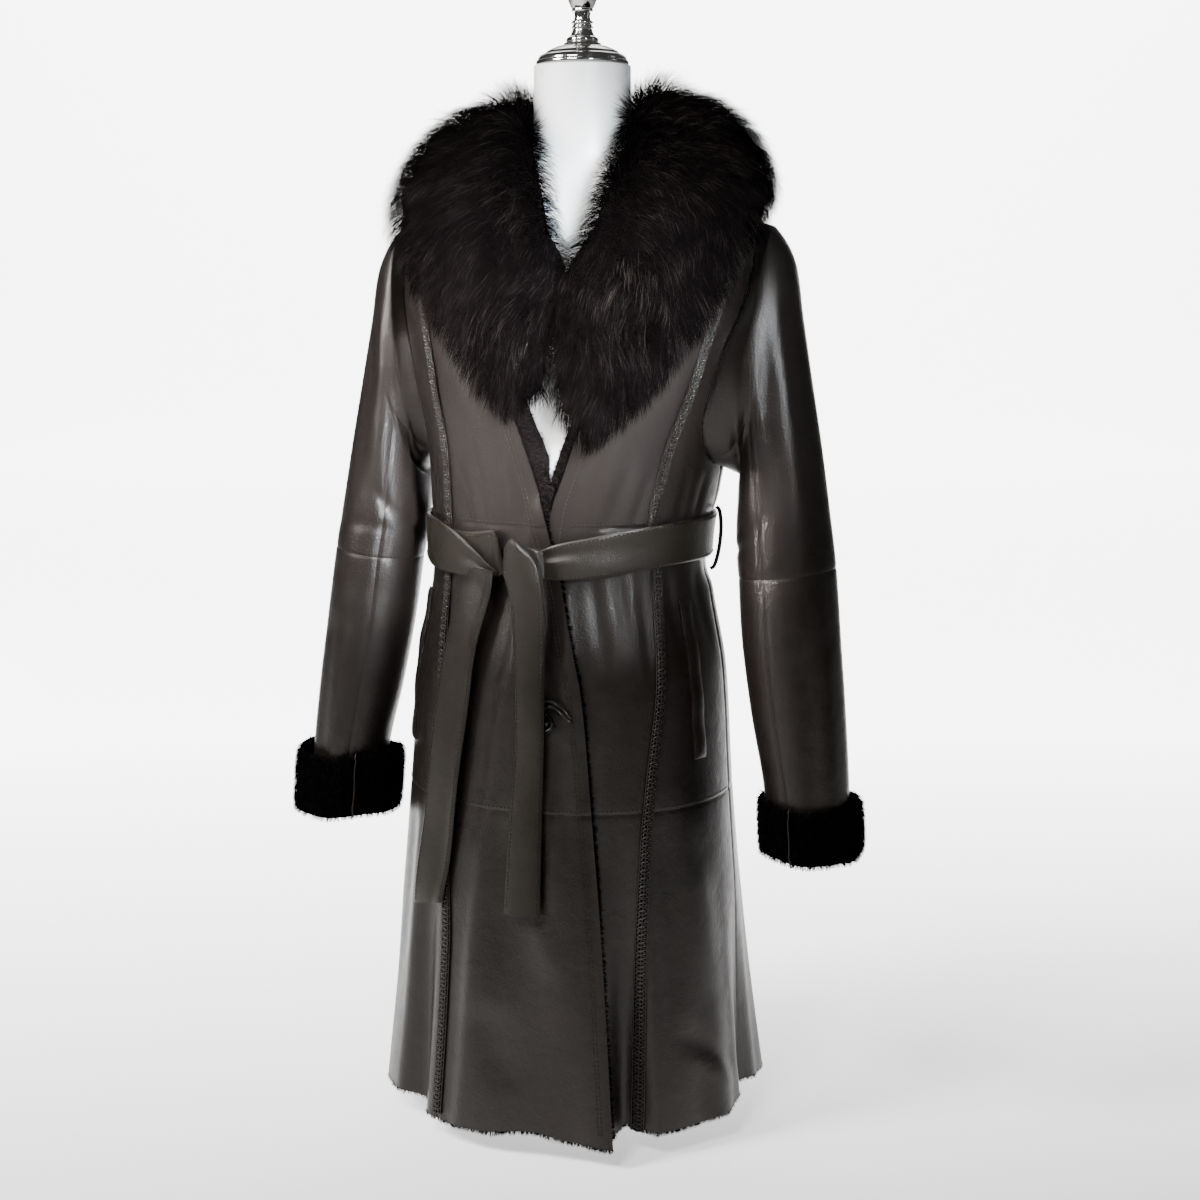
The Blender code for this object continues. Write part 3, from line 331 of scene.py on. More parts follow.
class Finish:
    """One procedural material, wired node by node."""

    def __init__(self, name, **shader_values):
        self.material = bpy.data.materials.new(name)
        self.material.use_nodes = True
        self.tree = self.material.node_tree
        self.shader = self.tree.nodes["Principled BSDF"]
        for socket, value in shader_values.items():
            self.shader.inputs[socket.replace("_", " ")].default_value = value

    def node(self, kind, settings=None, output=0, **sockets):
        """Adds a node; n0, n1 name sockets by number and other names by their label."""
        made = self.tree.nodes.new(kind)
        for key, value in (settings or {}).items():
            setattr(made, key, value)
        for key, value in sockets.items():
            place = int(key[1:]) if key[0] == "n" and key[1:].isdigit() else key.replace("_", " ")
            socket = made.inputs[place]
            if isinstance(value, Wire):
                self.tree.links.new(value.socket, socket)
            else:
                socket.default_value = value
        return Wire(self, made.outputs[output])

    def feed(self, socket, wire):
        self.tree.links.new(wire.socket, self.shader.inputs[socket])

    def paint(self, colour_wire, colours, roughness_wire, roughness, bump):
        """Colour and roughness from a wire, its low, its high and two values, and a fine relief."""
        wire, low, high = colour_wire
        self.feed("Base Color", self.blend(self.spread(wire, low, high), *colours))
        wire, low, high = roughness_wire
        self.feed("Roughness", self.spread(wire, low, high, *roughness))
        self.feed("Normal", self.bump(*bump))
        return self.material

    def here(self):
        return self.node("ShaderNodeTexCoord", output=3)

    def noise(self, scale, detail=3.0, roughness=0.55, where=None, distortion=0.0):
        return self.node("ShaderNodeTexNoise", Vector=where or self.here(), Scale=scale,
                         Detail=detail, Roughness=roughness, Distortion=distortion)

    def cells(self, scale):
        return self.node("ShaderNodeTexVoronoi", Vector=self.here(), Scale=scale)

    def blend(self, share, first, second):
        """A colour between two others."""
        made = self.tree.nodes.new("ShaderNodeMix")
        made.data_type = "RGBA"
        for place, value in ((0, share), (6, first), (7, second)):
            if isinstance(value, Wire):
                self.tree.links.new(value.socket, made.inputs[place])
            else:
                made.inputs[place].default_value = value if place == 0 else (*value, 1.0)
        return Wire(self, made.outputs[2])

    def spread(self, wire, low, high, to_low=0.0, to_high=1.0):
        """Stretches a wire's range and holds it between two values."""
        return self.node("ShaderNodeMapRange", {"clamp": True}, n0=wire, n1=low, n2=high,
                         n3=to_low, n4=to_high)

    def bump(self, height, strength, distance):
        return self.node("ShaderNodeBump", Height=height, Strength=strength, Distance=distance)


# %% [markdown]
# ### Leather
# Nappa-finished lambskin is almost black with a warm brown in it. It has a very fine grain, faint
# broader ripples, a satin sheen that breaks up slightly where the skin is handled, and cloudy changes
# of colour from the dye.

# %% Leather, the pile side and the belt's leather
def leather_finish(name, deep, pale, roughness, sheen=0.32):
    made = Finish(name, Specular_IOR_Level=sheen, Specular_Tint=(1.0, 0.95, 0.91, 1.0))
    cloud, fleck, pores = made.noise(5.0, 4.0, 0.6), made.noise(70.0, 3.0, 0.65), made.cells(900.0)
    ripple = made.noise(42.0, 3.0, 0.5, distortion=0.6)
    relief = pores * 0.35 + ripple * 1.6 + made.noise(380.0, 2.0) * 0.5
    return made.paint((cloud * 0.75 + fleck * 0.25, 0.34, 0.66), (deep, pale),
                      (cloud * 0.4 + fleck * 0.6, 0.3, 0.7), (roughness - 0.06, roughness + 0.08),
                      (relief, 0.42, 0.0011))


LEATHER = leather_finish("Lambskin", (0.0034, 0.0023, 0.0019), (0.0082, 0.0058, 0.0049), 0.36)
BELT_LEATHER = leather_finish("Belt lambskin", (0.0042, 0.0032, 0.002), (0.0096, 0.0074, 0.0048),
                              0.43, sheen=0.26)
BRAID_LEATHER = leather_finish("Braid leather", (0.0045, 0.0034, 0.003), (0.0125, 0.0098, 0.0086),
                               0.44)
# The braid's bed: a near-black sheet whose colour is painted shade in the openwork between the laces.
PAINTED_SHADE_IN_BRAID = leather_finish("Painted shade in the braid", (0.001, 0.0008, 0.0008),
                               (0.0026, 0.0021, 0.0019), 0.7, sheen=0.05)


def pile_finish(name, deep, pale):
    made = Finish(name, Specular_IOR_Level=0.02)
    tuft, cloud = made.cells(420.0), made.noise(60.0, 4.0, 0.7)
    return made.paint((tuft * 0.5 + cloud * 0.5, 0.2, 0.7), (deep, pale), (cloud, 0.3, 0.7),
                      (0.75, 0.95), (tuft + cloud * 2.0, 0.8, 0.002))


PILE = pile_finish("Pile side", (0.0035, 0.0027, 0.0024), (0.0115, 0.009, 0.0078))
print("leather finishes:", LEATHER.name, BELT_LEATHER.name, BRAID_LEATHER.name, PILE.name)

# %% [markdown]
# ## Sheets of leather
# A leather panel is a slab: Blender's grid, extruded once, gives an outer face, an inner face and the
# rim between them. Its vertices are then carried into place, so a panel follows the coat exactly and
# its wall has one thickness. The grid's lines crowd together near the edges, where the seam rolls in.

# %% Pieces and slabs
MERGE = 1e-6                # points closer than this are one


def keep(piece, node):
    """A finished piece: it belongs to the one body and stands for its CAD node."""
    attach(piece, "root")
    if node:
        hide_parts(node)
    return piece


def placed(name, data):
    """A new object in the scene, at the origin."""
    piece = bpy.data.objects.new(name, data)
    bpy.context.scene.collection.objects.link(piece)
    return piece


def finished_mesh(name, bm, *materials, sharp=50.0):
    mesh = bpy.data.meshes.new(name)
    bm.to_mesh(mesh)
    bm.free()
    mesh.shade_smooth()
    mesh.set_sharp_from_angle(angle=math.radians(sharp))
    for material in materials:
        mesh.materials.append(material)
    return placed(name, mesh)


def crowded(count, edge=0.0, crowd=3):
    """Places from 0 to 1 with a few close ones near both ends; edge is the rolled strip's share."""
    inner = np.linspace(0.0, 1.0, count + 1)
    if edge <= 0.0:
        return inner
    close = edge * np.linspace(0.0, 1.0, crowd + 1)
    middle = np.linspace(edge, 1.0 - edge, count + 1)[1:-1]
    return np.concatenate([close, middle, 1.0 - close[::-1]])


def slab(name, place, columns, rows, outside, inside, thickness=WALL):
    """A closed sheet. columns and rows are arrays of places; place(a, b, depth) gives points."""
    bm = bmesh.new()
    bmesh.ops.create_grid(bm, x_segments=len(columns) - 1, y_segments=len(rows) - 1, size=0.5)
    sheet = bm.verts[:] + bm.edges[:] + bm.faces[:]
    grown = bmesh.ops.extrude_face_region(bm, geom=sheet, use_keep_orig=True)
    for part in grown["geom"]:
        if isinstance(part, bmesh.types.BMVert):
            part.co.z = -1.0
    flat = np.array([vertex.co for vertex in bm.verts])
    for face in bm.faces:
        face.material_index = 0 if min(v.co.z for v in face.verts) > -0.5 else 1
    a = columns[np.rint((flat[:, 0] + 0.5) * (len(columns) - 1)).astype(int)]
    b = rows[np.rint((flat[:, 1] + 0.5) * (len(rows) - 1)).astype(int)]
    spots = place(a, b, np.where(flat[:, 2] < -0.5, thickness, 0.0))
    for vertex, spot in zip(bm.verts, spots):
        vertex.co = spot
    bmesh.ops.recalc_face_normals(bm, faces=bm.faces)
    cut_size(place, columns, rows)
    return finished_mesh(name, bm, outside, inside)


def cut_size(place, columns, rows):
    """The width and length that a sheet was cut to, and its flat area."""
    a, b = np.meshgrid(columns, rows)
    grid = place(a.ravel(), b.ravel(), np.zeros(a.size)).reshape(*a.shape, 3)
    across = np.linalg.norm(np.diff(grid, axis=1), axis=2).sum(axis=1)
    along = np.linalg.norm(np.diff(grid, axis=0), axis=2).sum(axis=0)
    sides = np.diff(grid, axis=1)[:-1], np.diff(grid, axis=0)[:, :-1]
    area = np.linalg.norm(np.cross(*sides), axis=2).sum()
    return round(float(across.max()), 3), round(float(along.max()), 3), float(area)


def declare_sheet(piece):
    return piece


# %% [markdown]
# ## The body panels
# Princess seams run from hem to shoulder; two level seams divide each panel in three, because a
# lambskin is only so large. Every edge that is sewn rolls inwards a little, which makes a seam show
# as a soft line. The overlapping front keeps a full edge, since that one is turned and stitched.

# %% Body panels
GAP = 0.00006               # between two sewn edges
SEAM_ROLL = 0.001          # how far a sewn edge dips
ROLL_WIDTH = 0.0026
LEVEL_ROLL = 0.6            # a level seam dips less
TIERS = {"hem": (HEM_Z, KNEE_SEAM_Z, 46), "skirt": (KNEE_SEAM_Z, WAIST_SEAM_Z, 42),
         "bodice": (WAIST_SEAM_Z, NECK_Z, 56)}


def side_edge(z):
    """Degrees from the side at which a panel ends: the side seam, the armhole or the shoulder."""
    reach = ARMHOLE(z)[0]
    return np.where((z <= UNDERARM_Z) | (z >= SHOULDER_Z), 0.0, reach)


def seam_roll(distance):
    return -SEAM_ROLL * np.exp(-(distance / ROLL_WIDTH) ** 2)


def panel(name, first, last, tier, columns, over_layer=False, sewn=(True, True)):
    low_z, high_z, row_count = TIERS[tier]

    def place(a, b, depth):
        z = mix(low_z, high_z, b)
        radius = SECTIONS(z)[1]
        trim = np.degrees(GAP / radius)
        low_angle, high_angle = first(z) + trim, last(z) - trim
        angle = mix(low_angle, high_angle, a)
        level = z
        if tier == "hem":
            level = level + hem_rise(angle) * np.clip(1.0 - b * 12.0, 0.0, 1.0)
        bottom = 0.0 if tier == "hem" else GAP
        top = 0.0 if tier == "bodice" else GAP
        level = np.clip(level, low_z + bottom, high_z - top)
        lift = over_lift(angle, level) if over_layer else np.zeros_like(angle)
        if sewn[0]:
            lift = lift + seam_roll(np.radians(angle - low_angle) * radius)
        if sewn[1]:
            lift = lift + seam_roll(np.radians(high_angle - angle) * radius)
        if tier != "hem":
            lift = lift + LEVEL_ROLL * seam_roll(z - low_z)
        if tier != "bodice":
            lift = lift + LEVEL_ROLL * seam_roll(high_z - z)
        return coat_point(angle, level, lift - depth, over_layer)

    piece = slab(f"{name}_leather", place, crowded(columns, 0.035), crowded(row_count, 0.016),
                 LEATHER, PILE)
    keep(piece, name)
    return declare_sheet(piece)


def front_seam_right(z):
    return FRONT_SEAMS(z)[0]


def front_seam_left(z):
    return FRONT_SEAMS(z)[1]


def over_edge(z):
    return FRONT_EDGES(z)[0]


def under_edge(z):
    return FRONT_EDGES(z)[1]


def back_seam_left(z):
    return BACK_SEAMS(z)[0]


def back_seam_right(z):
    return 360.0 - BACK_SEAMS(z)[0]


body = []
for tier in TIERS:
    body += [
        panel(f"front_right_{tier}", front_seam_right, over_edge, tier, 34, True, (True, False)),
        panel(f"front_left_{tier}", under_edge, front_seam_left, tier, 32, sewn=(False, True)),
        panel(f"side_front_right_{tier}", lambda z: side_edge(z) - 90.0, front_seam_right, tier, 30),
        panel(f"side_front_left_{tier}", front_seam_left, lambda z: 90.0 - side_edge(z), tier, 30),
        panel(f"side_back_left_{tier}", lambda z: 90.0 + side_edge(z), back_seam_left, tier, 22),
        panel(f"side_back_right_{tier}", back_seam_right, lambda z: 270.0 - side_edge(z), tier, 22),
        panel(f"back_{tier}", back_seam_left, back_seam_right, tier, 32)]
print("body panels:", len(body), "with", sum(len(p.data.polygons) for p in body), "faces")

# %% [markdown]
# ## Sleeves
# Two-piece sleeves with a seam across the elbow. Each hangs straight from the armhole, so its rings
# fan down from the shoulder. The leather rolls softly at the elbow and drags a little along the arm.

# %% Sleeve rings, from the armhole to the wrist
# outer x and z, inner x and z, y and half depth of each ring
SLEEVE = np.array([
    (0.206, 0.948, 0.174, 0.696, -0.003, 0.064), (0.224, 0.915, 0.174, 0.69, -0.004, 0.063),
    (0.233, 0.862, 0.1725, 0.682, -0.006, 0.06), (0.244, 0.8, 0.172, 0.668, -0.01, 0.057),
    (0.257, 0.728, 0.1715, 0.648, -0.014, 0.0545), (0.268, 0.66, 0.1725, 0.622, -0.019, 0.052),
    (0.276, 0.608, 0.176, 0.596, -0.024, 0.051), (0.284, 0.535, 0.1825, 0.532, -0.033, 0.049),
    (0.292, 0.46, 0.195, 0.458, -0.041, 0.047), (0.298, 0.39, 0.21, 0.388, -0.048, 0.0435),
    (0.301, 0.332, 0.215, 0.33, -0.051, 0.042)])
ELBOW_RING = 7
SLEEVE_SEAM_ANGLE = 110.0
Arm = namedtuple("Arm", "side lift shift")
ARMS = {"left": Arm(1, -0.004, 0.0), "right": Arm(-1, 0.006, -0.006)}


def along(rows, place):
    """Rows of numbers read between each other on a smooth curve; place counts rows from 0."""
    place = np.clip(place, 0.0, len(rows) - 1.0)
    i = np.minimum(place.astype(int), len(rows) - 2)
    t = (place - i)[..., None]
    p0, p1 = rows[np.maximum(i - 1, 0)], rows[i]
    p2, p3 = rows[i + 1], rows[np.minimum(i + 2, len(rows) - 1)]
    slope_in, slope_out = (p2 - p0) / 2.0, (p3 - p1) / 2.0
    value = ((2 * p1 - 2 * p2 + slope_in + slope_out) * t
             + (-3 * p1 + 3 * p2 - 2 * slope_in - slope_out)) * t
    return np.moveaxis((value + slope_in) * t + p1, -1, 0)


# Rolls in the sleeve: angle round it (0 is the outer line, 90 the front), station down it, half
# width and depth; each runs a length of stations along and may slant.
Roll = namedtuple("Roll", "angle_a station_a angle_b station_b half_width depth")
ROLLS = {side: [Roll(*row) for row in rows] for side, rows in {
    "left": [(30, 6.2, 120, 7.2, 0.01, -0.0032), (60, 7.4, 150, 6.6, 0.009, -0.0028),
             (100, 5.4, 190, 6.2, 0.011, -0.003), (70, 1.2, 88, 5.6, 0.012, -0.0034),
             (48, 2.2, 60, 6.0, 0.013, 0.0026), (20, 7.8, 95, 8.5, 0.009, -0.0022),
             (62, 8.0, 74, 10.6, 0.012, -0.0026), (38, 7.6, 46, 10.4, 0.012, 0.0024),
             (200, 6.0, 290, 6.9, 0.01, -0.003), (250, 1.6, 262, 5.8, 0.012, -0.0028),
             (300, 2.0, 306, 9.6, 0.014, 0.0024), (230, 7.2, 300, 8.0, 0.01, -0.0024),
             (130, 0.9, 165, 2.2, 0.01, -0.004), (104, 0.8, 118, 2.4, 0.009, 0.0026)],
    "right": [(26, 6.5, 118, 6.0, 0.01, -0.0032), (40, 7.3, 140, 7.7, 0.009, -0.0026),
              (90, 5.2, 180, 5.9, 0.011, -0.003), (52, 1.4, 66, 5.9, 0.013, -0.0032),
              (84, 1.8, 96, 5.0, 0.012, 0.0028), (30, 8.3, 110, 7.9, 0.009, -0.002),
              (50, 7.9, 58, 10.6, 0.012, -0.0028), (84, 7.7, 90, 10.4, 0.011, 0.0026),
              (210, 6.6, 300, 6.0, 0.01, -0.0028), (268, 1.8, 256, 5.6, 0.012, -0.003),
              (312, 1.8, 318, 9.4, 0.014, 0.0022), (240, 7.8, 306, 7.2, 0.01, -0.0026),
              (128, 0.9, 160, 2.4, 0.01, -0.0036), (100, 0.9, 112, 2.6, 0.009, 0.0024)]}.items()}
SLEEVE_RADIUS, RING_SPACING = 0.047, 0.062
ELBOW_CALM = 0.72           # the share of a roll that the elbow seam flattens


def roll_depth(rolls, angle, station):
    """The sum of a sleeve's rolls at a point; they are shallow near the elbow seam."""
    across = np.radians(angle % 360.0) * SLEEVE_RADIUS
    strokes = [(math.radians(roll.angle_a) * SLEEVE_RADIUS, roll.station_a * RING_SPACING,
                math.radians(roll.angle_b) * SLEEVE_RADIUS, roll.station_b * RING_SPACING,
                roll.half_width, roll.depth) for roll in rolls]
    total = stroke_sum(strokes, lambda start: across - start, station * RING_SPACING, 0.4, 0.4)
    return total * (1.0 - ELBOW_CALM * np.exp(-((station - ELBOW_RING) / 1.2) ** 2))


def armhole_point(side, angle):
    """The sleeve's first ring: at the armhole's edge, 0 degrees at the shoulder."""
    middle = (SHOULDER_Z + UNDERARM_Z) / 2.0
    half = (SHOULDER_Z - UNDERARM_Z) / 2.0 - 0.0015
    z = middle + half * np.cos(np.radians(angle))
    reach = np.maximum(ARMHOLE(z)[0] - 0.12, 0.0)
    forwards = np.sin(np.radians(angle))
    return plain_coat_point(side * (90.0 - np.copysign(reach, forwards)), z, -0.0011)


def plain_sleeve_point(arm, angle, station):
    """Rings that fan down from the armhole; angle 0 is the outer line and 90 the front."""
    angle, station = np.broadcast_arrays(np.asarray(angle, float), np.asarray(station, float))
    outer_x, outer_z, inner_x, inner_z, y, half_depth = along(SLEEVE, np.maximum(station - 1.0, 0.0))
    drop = arm.lift * np.clip(station / len(SLEEVE), 0.0, 1.0) ** 1.5
    outer = np.stack([arm.side * (outer_x + arm.shift), y, outer_z + drop], axis=-1)
    inner = np.stack([arm.side * inner_x, y, inner_z + drop], axis=-1)
    turn = np.radians(angle)
    point = (outer + inner) / 2.0 + (outer - inner) / 2.0 * np.cos(turn)[..., None]
    point[..., 1] -= half_depth * np.sin(turn)
    start = armhole_point(arm.side, angle)
    share = np.clip(station / 1.7, 0.0, 1.0)
    return mix(start, point, (1.0 - (1.0 - share) ** 2.2)[..., None])


def sleeve_normal(arm, angle, station):
    side = (plain_sleeve_point(arm, angle + 2.0, station)
            - plain_sleeve_point(arm, angle - 2.0, station))
    down = (plain_sleeve_point(arm, angle, np.minimum(station + 0.1, len(SLEEVE)))
            - plain_sleeve_point(arm, angle, np.maximum(station - 0.1, 0.0)))
    return unit(np.cross(side, down)) * arm.side


# %% Sleeve pieces
def sleeve_piece(name, side_name, half, from_ring, to_ring, columns, rows):
    arm = ARMS[side_name]
    trim = math.degrees(GAP / 0.048)
    across = GAP / 0.075
    low = to_ring - (across if to_ring == ELBOW_RING else 0.0)
    high = from_ring + (across if from_ring == ELBOW_RING else 0.0)

    def place(a, b, depth):
        station = mix(low, high, b)
        seam = SLEEVE_SEAM_ANGLE + 42.0 * (1.0 - smooth_step(station / 2.6))
        first, last = (-seam, seam) if half == "top" else (seam, 360.0 - seam)
        angle = mix(last - trim, first + trim, a if arm.side > 0 else 1.0 - a)
        lift = roll_depth(ROLLS[side_name], angle, station) * smooth_step(station / 0.6)
        lift = lift + seam_roll(np.radians(np.abs(angle - first)) * SLEEVE_RADIUS)
        lift = lift + seam_roll(np.radians(np.abs(angle - last)) * SLEEVE_RADIUS)
        lift = lift + LEVEL_ROLL * seam_roll((station - ELBOW_RING) * 0.072)
        lift = lift + seam_roll(station * 0.045)
        point = plain_sleeve_point(arm, angle, station)
        return point + sleeve_normal(arm, angle, station) * (lift - depth)[..., None]

    piece = slab(f"{name}_leather", place, crowded(columns, 0.05), crowded(rows, 0.016),
                 LEATHER, PILE)
    return declare_sheet(keep(piece, name))


arms = []
for side_name in ARMS:
    for stretch, from_ring, to_ring, rows in (("upper", 0, ELBOW_RING, 62),
                                              ("lower", ELBOW_RING, len(SLEEVE), 44)):
        for half, columns in (("top", 34), ("under", 20)):
            arms.append(sleeve_piece(f"sleeve_{side_name}_{half}_{stretch}", side_name, half,
                                     from_ring, to_ring, columns, rows))
print("sleeve pieces:", len(arms))

# %% [markdown]
# ## The dress form and its stand
# A limbless form in gloss white: hips, chest and a straight neck, then a stepped chrome cap with a
# turned stem and finial. All of it is turned or lofted, so it needs more facets than the plain solid
# but no modelling tricks. The stand is hidden by the skirt from the front: a steel pole and a disc.

# %% Gloss white, chrome and brushed steel
white = Finish("Gloss white shell", Coat_Roughness=0.08, Coat_Weight=0.35)
WHITE = white.paint((white.noise(3.0, 3.0), 0.3, 0.7), ((0.9, 0.885, 0.865), (0.95, 0.94, 0.93)),
                    (white.noise(24.0, 3.0), 0.3, 0.7), (0.26, 0.36),
                    (white.noise(9.0, 2.0), 0.12, 0.002))
chrome = Finish("Chrome", Metallic=1.0)
smear = chrome.noise(40.0, 4.0, 0.6)
CHROME = chrome.paint((smear, 0.3, 0.7), ((0.52, 0.5, 0.48), (0.7, 0.69, 0.68)),
                      (smear, 0.3, 0.75), (0.07, 0.2), (chrome.noise(160.0, 3.0), 0.05, 0.0005))
steel = Finish("Brushed steel", Metallic=1.0)
grain = steel.node("ShaderNodeMapping", Vector=steel.here(), Scale=(1.0, 1.0, 60.0))
streak = steel.noise(30.0, 4.0, 0.6, where=grain)
STEEL = steel.paint((streak, 0.3, 0.7), ((0.44, 0.44, 0.45), (0.6, 0.6, 0.61)),
                    (streak, 0.3, 0.7), (0.24, 0.4), (streak, 0.1, 0.0004))


# %% The torso: a closed loft of the coat's own sections, pulled in
FORM_INSET = 0.01
FORM_LOW_Z = 0.4
FORM_TOP_Z = 1.11
NECK_RADIUS = 0.05


def carried_grid(name, columns, rows, place, material, close_columns=False, close_rows=False):
    """A grid carried into place; closed ways are merged, open ends are capped."""
    bm = bmesh.new()
    bmesh.ops.create_grid(bm, x_segments=columns, y_segments=rows, size=0.5)
    flat = np.array([vertex.co for vertex in bm.verts]) + 0.5
    a = np.where(close_columns & (flat[:, 0] > 0.9999), 0.0, flat[:, 0])
    b = np.where(close_rows & (flat[:, 1] > 0.9999), 0.0, flat[:, 1])
    for vertex, spot in zip(bm.verts, place(a, b)):
        vertex.co = spot
    bmesh.ops.remove_doubles(bm, verts=bm.verts, dist=MERGE)
    rim = [edge for edge in bm.edges if edge.is_boundary]
    if rim:
        bmesh.ops.holes_fill(bm, edges=rim, sides=0)
    bmesh.ops.recalc_face_normals(bm, faces=bm.faces)
    return finished_mesh(name, bm, material)


def torso_rows():
    rows = []
    for z in (FORM_LOW_Z, 0.42, 0.48, 0.56, 0.605, 0.66, 0.74, 0.81, 0.88, 0.93):
        centre, half_width, front, back = SECTIONS(np.array(z))
        pull = FORM_INSET + (0.03 if z == FORM_LOW_Z else 0.0)
        rows.append((z, centre, half_width - pull, front - pull, back - pull))
    rows += [(0.955, 0.0, 0.15, 0.088, 0.088), (0.975, 0.0, 0.104, 0.072, 0.076),
             (0.992, 0.0, 0.07, 0.058, 0.062), (1.012, 0.0, 0.055, 0.052, 0.054),
             (1.05, 0.0, 0.0505, 0.0505, 0.0505),
             (FORM_TOP_Z, 0.0, NECK_RADIUS, NECK_RADIUS, NECK_RADIUS)]
    return HeightTable(*rows)


TORSO = torso_rows()


def torso_point(a, b):
    z = mix(FORM_LOW_Z, FORM_TOP_Z, b)
    centre, half_width, front, back = TORSO(z)
    turn = math.tau * a
    depth = np.where(np.cos(turn) > 0, front, back)
    return np.stack([centre + half_width * np.sin(turn), -depth * np.cos(turn), z], axis=-1)


keep(carried_grid("form_torso_shell", 72, 80, torso_point, WHITE, close_columns=True),
     "form_torso")


# %% Turned pieces
def spun(profile, steps, floor_z=0.0):
    """A profile of radius and height, spun round the upright axis."""
    bm = bmesh.new()
    points = [bm.verts.new((radius, 0.0, height + floor_z)) for radius, height in profile]
    edges = [bm.edges.new(pair) for pair in zip(points, points[1:])]
    bmesh.ops.spin(bm, geom=points + edges, cent=(0, 0, 0), axis=(0, 0, 1), angle=math.tau,
                   steps=steps, use_merge=True)
    bmesh.ops.remove_doubles(bm, verts=bm.verts, dist=MERGE)
    bmesh.ops.recalc_face_normals(bm, faces=bm.faces)
    return bm


def turned(name, node, profile, material, floor_z=0.0, steps=64, bevel=0.0006):
    """A spun profile whose corners are rounded afterwards."""
    bm = spun(profile, steps, floor_z)
    corners = [edge for edge in bm.edges if edge.calc_face_angle(0.0) > math.radians(28)]
    bmesh.ops.bevel(bm, geom=corners, offset=bevel, affect="EDGES", segments=2, profile=0.5,
                    material=-1, clamp_overlap=True)
    return keep(finished_mesh(name, bm, material, sharp=40.0), node)


CAP_Z = FORM_TOP_Z + 0.001
turned("neck_cap_turned", "form_neck_cap",
       [(0.0, 0.0), (0.048, 0.0), (0.0482, 0.0025), (0.0474, 0.0042), (0.0462, 0.0046),
        (0.0462, 0.006), (0.044, 0.009), (0.041, 0.0106), (0.038, 0.0114), (0.0374, 0.0132),
        (0.036, 0.014), (0.032, 0.016), (0.028, 0.0178), (0.024, 0.019), (0.02, 0.0196),
        (0.0194, 0.0206), (0.019, 0.022), (0.0, 0.022)], CHROME, CAP_Z)
STEM_Z = CAP_Z + 0.022 + SEAM
turned("finial_stem_turned", "form_finial_stem",
       [(0.0, 0.0), (0.016, 0.0), (0.0168, 0.0016), (0.0165, 0.004), (0.015, 0.0054),
        (0.0124, 0.0066), (0.0118, 0.0086), (0.0105, 0.0116), (0.01, 0.0134), (0.0114, 0.0144),
        (0.0114, 0.0156), (0.0098, 0.0166), (0.0098, 0.018), (0.0114, 0.0192), (0.0112, 0.0206),
        (0.0086, 0.0226), (0.008, 0.0256), (0.0086, 0.03), (0.0, 0.03)],
       CHROME, STEM_Z, steps=48, bevel=0.0004)
KNOB_Z = STEM_Z + 0.03 + SEAM
turned("finial_turned", "form_finial",
       [(0.0, 0.0), (0.0104, 0.0), (0.0112, 0.0016), (0.0106, 0.0032), (0.0122, 0.005),
        (0.015, 0.012), (0.0174, 0.02), (0.0185, 0.027), (0.0182, 0.033), (0.016, 0.039),
        (0.0122, 0.0436), (0.007, 0.0468), (0.0, 0.048)],
       CHROME, KNOB_Z, steps=48, bevel=0.0004)
BASE_RADIUS, BASE_HEIGHT, POLE_RADIUS = 0.105, 0.012, 0.014
turned("stand_base_turned", "form_base",
       [(0.0, 0.0), (BASE_RADIUS, 0.0), (BASE_RADIUS, 0.005), (BASE_RADIUS - 0.004, 0.009),
        (0.07, 0.0108), (0.04, BASE_HEIGHT), (0.0, BASE_HEIGHT)], STEEL, steps=96,
       bevel=0.001)
turned("stand_pole_turned", "form_pole",
       [(0.0, 0.0), (0.03, 0.0), (0.0292, 0.004), (0.024, 0.007), (0.0165, 0.0094),
        (POLE_RADIUS, 0.0117), (POLE_RADIUS, 0.19), (0.017, 0.1915), (0.017, 0.206),
        (0.015, 0.2075), (POLE_RADIUS - 0.001, 0.208),
        (POLE_RADIUS - 0.001, FORM_LOW_Z - BASE_HEIGHT - 2 * SEAM),
        (0.0, FORM_LOW_Z - BASE_HEIGHT - 2 * SEAM)], STEEL, BASE_HEIGHT + SEAM,
       steps=48)
print("form and stand are built")

# %% [markdown]
# ## The belt
# A belt 45 mm wide, of two layers with turned and stitched edges. It is tied once: the band from the
# wearer's right narrows to a fold that dives under the knot, with a tuck of leather behind it; one
# end climbs behind the knot, turns over it and hangs at the front; the other hangs flat to the side.
# Each stretch is a strap between two edges, given as angle, height and lift off the coat.

# %% Straps between two edges
STRAP_ROLL = 0.0014         # how far a turned edge falls away
STRAP_EDGE = 0.003
# A strap's rows: angle, height and lift at one edge, then at the other.


def edge_fall(a, width):
    """The rounding of both long edges of a strap; a runs from 0 to 1 across it."""
    near = np.minimum(a, 1.0 - a) * width
    return -STRAP_ROLL * np.clip(1.0 - near / STRAP_EDGE, 0.0, 1.0) ** 2


def strap_spot(rows, a, b, width, crown=0.0, ripples=()):
    """A point on a strap; ripples are (a, b, half a, half b, depth) dents and swellings."""
    table = np.array(rows, float)
    angle_a, z_a, lift_a, angle_b, z_b, lift_b = along(table, b * (len(rows) - 1.0))
    lift = mix(lift_a, lift_b, a) + crown * (1.0 - (2.0 * a - 1.0) ** 2) + edge_fall(a, width)
    for at_a, at_b, half_a, half_b, depth in ripples:
        lift = lift + depth * np.exp(-((a - at_a) / half_a) ** 2 - ((b - at_b) / half_b) ** 2)
    return plain_coat_point(mix(angle_a, angle_b, a), mix(z_a, z_b, a), lift)


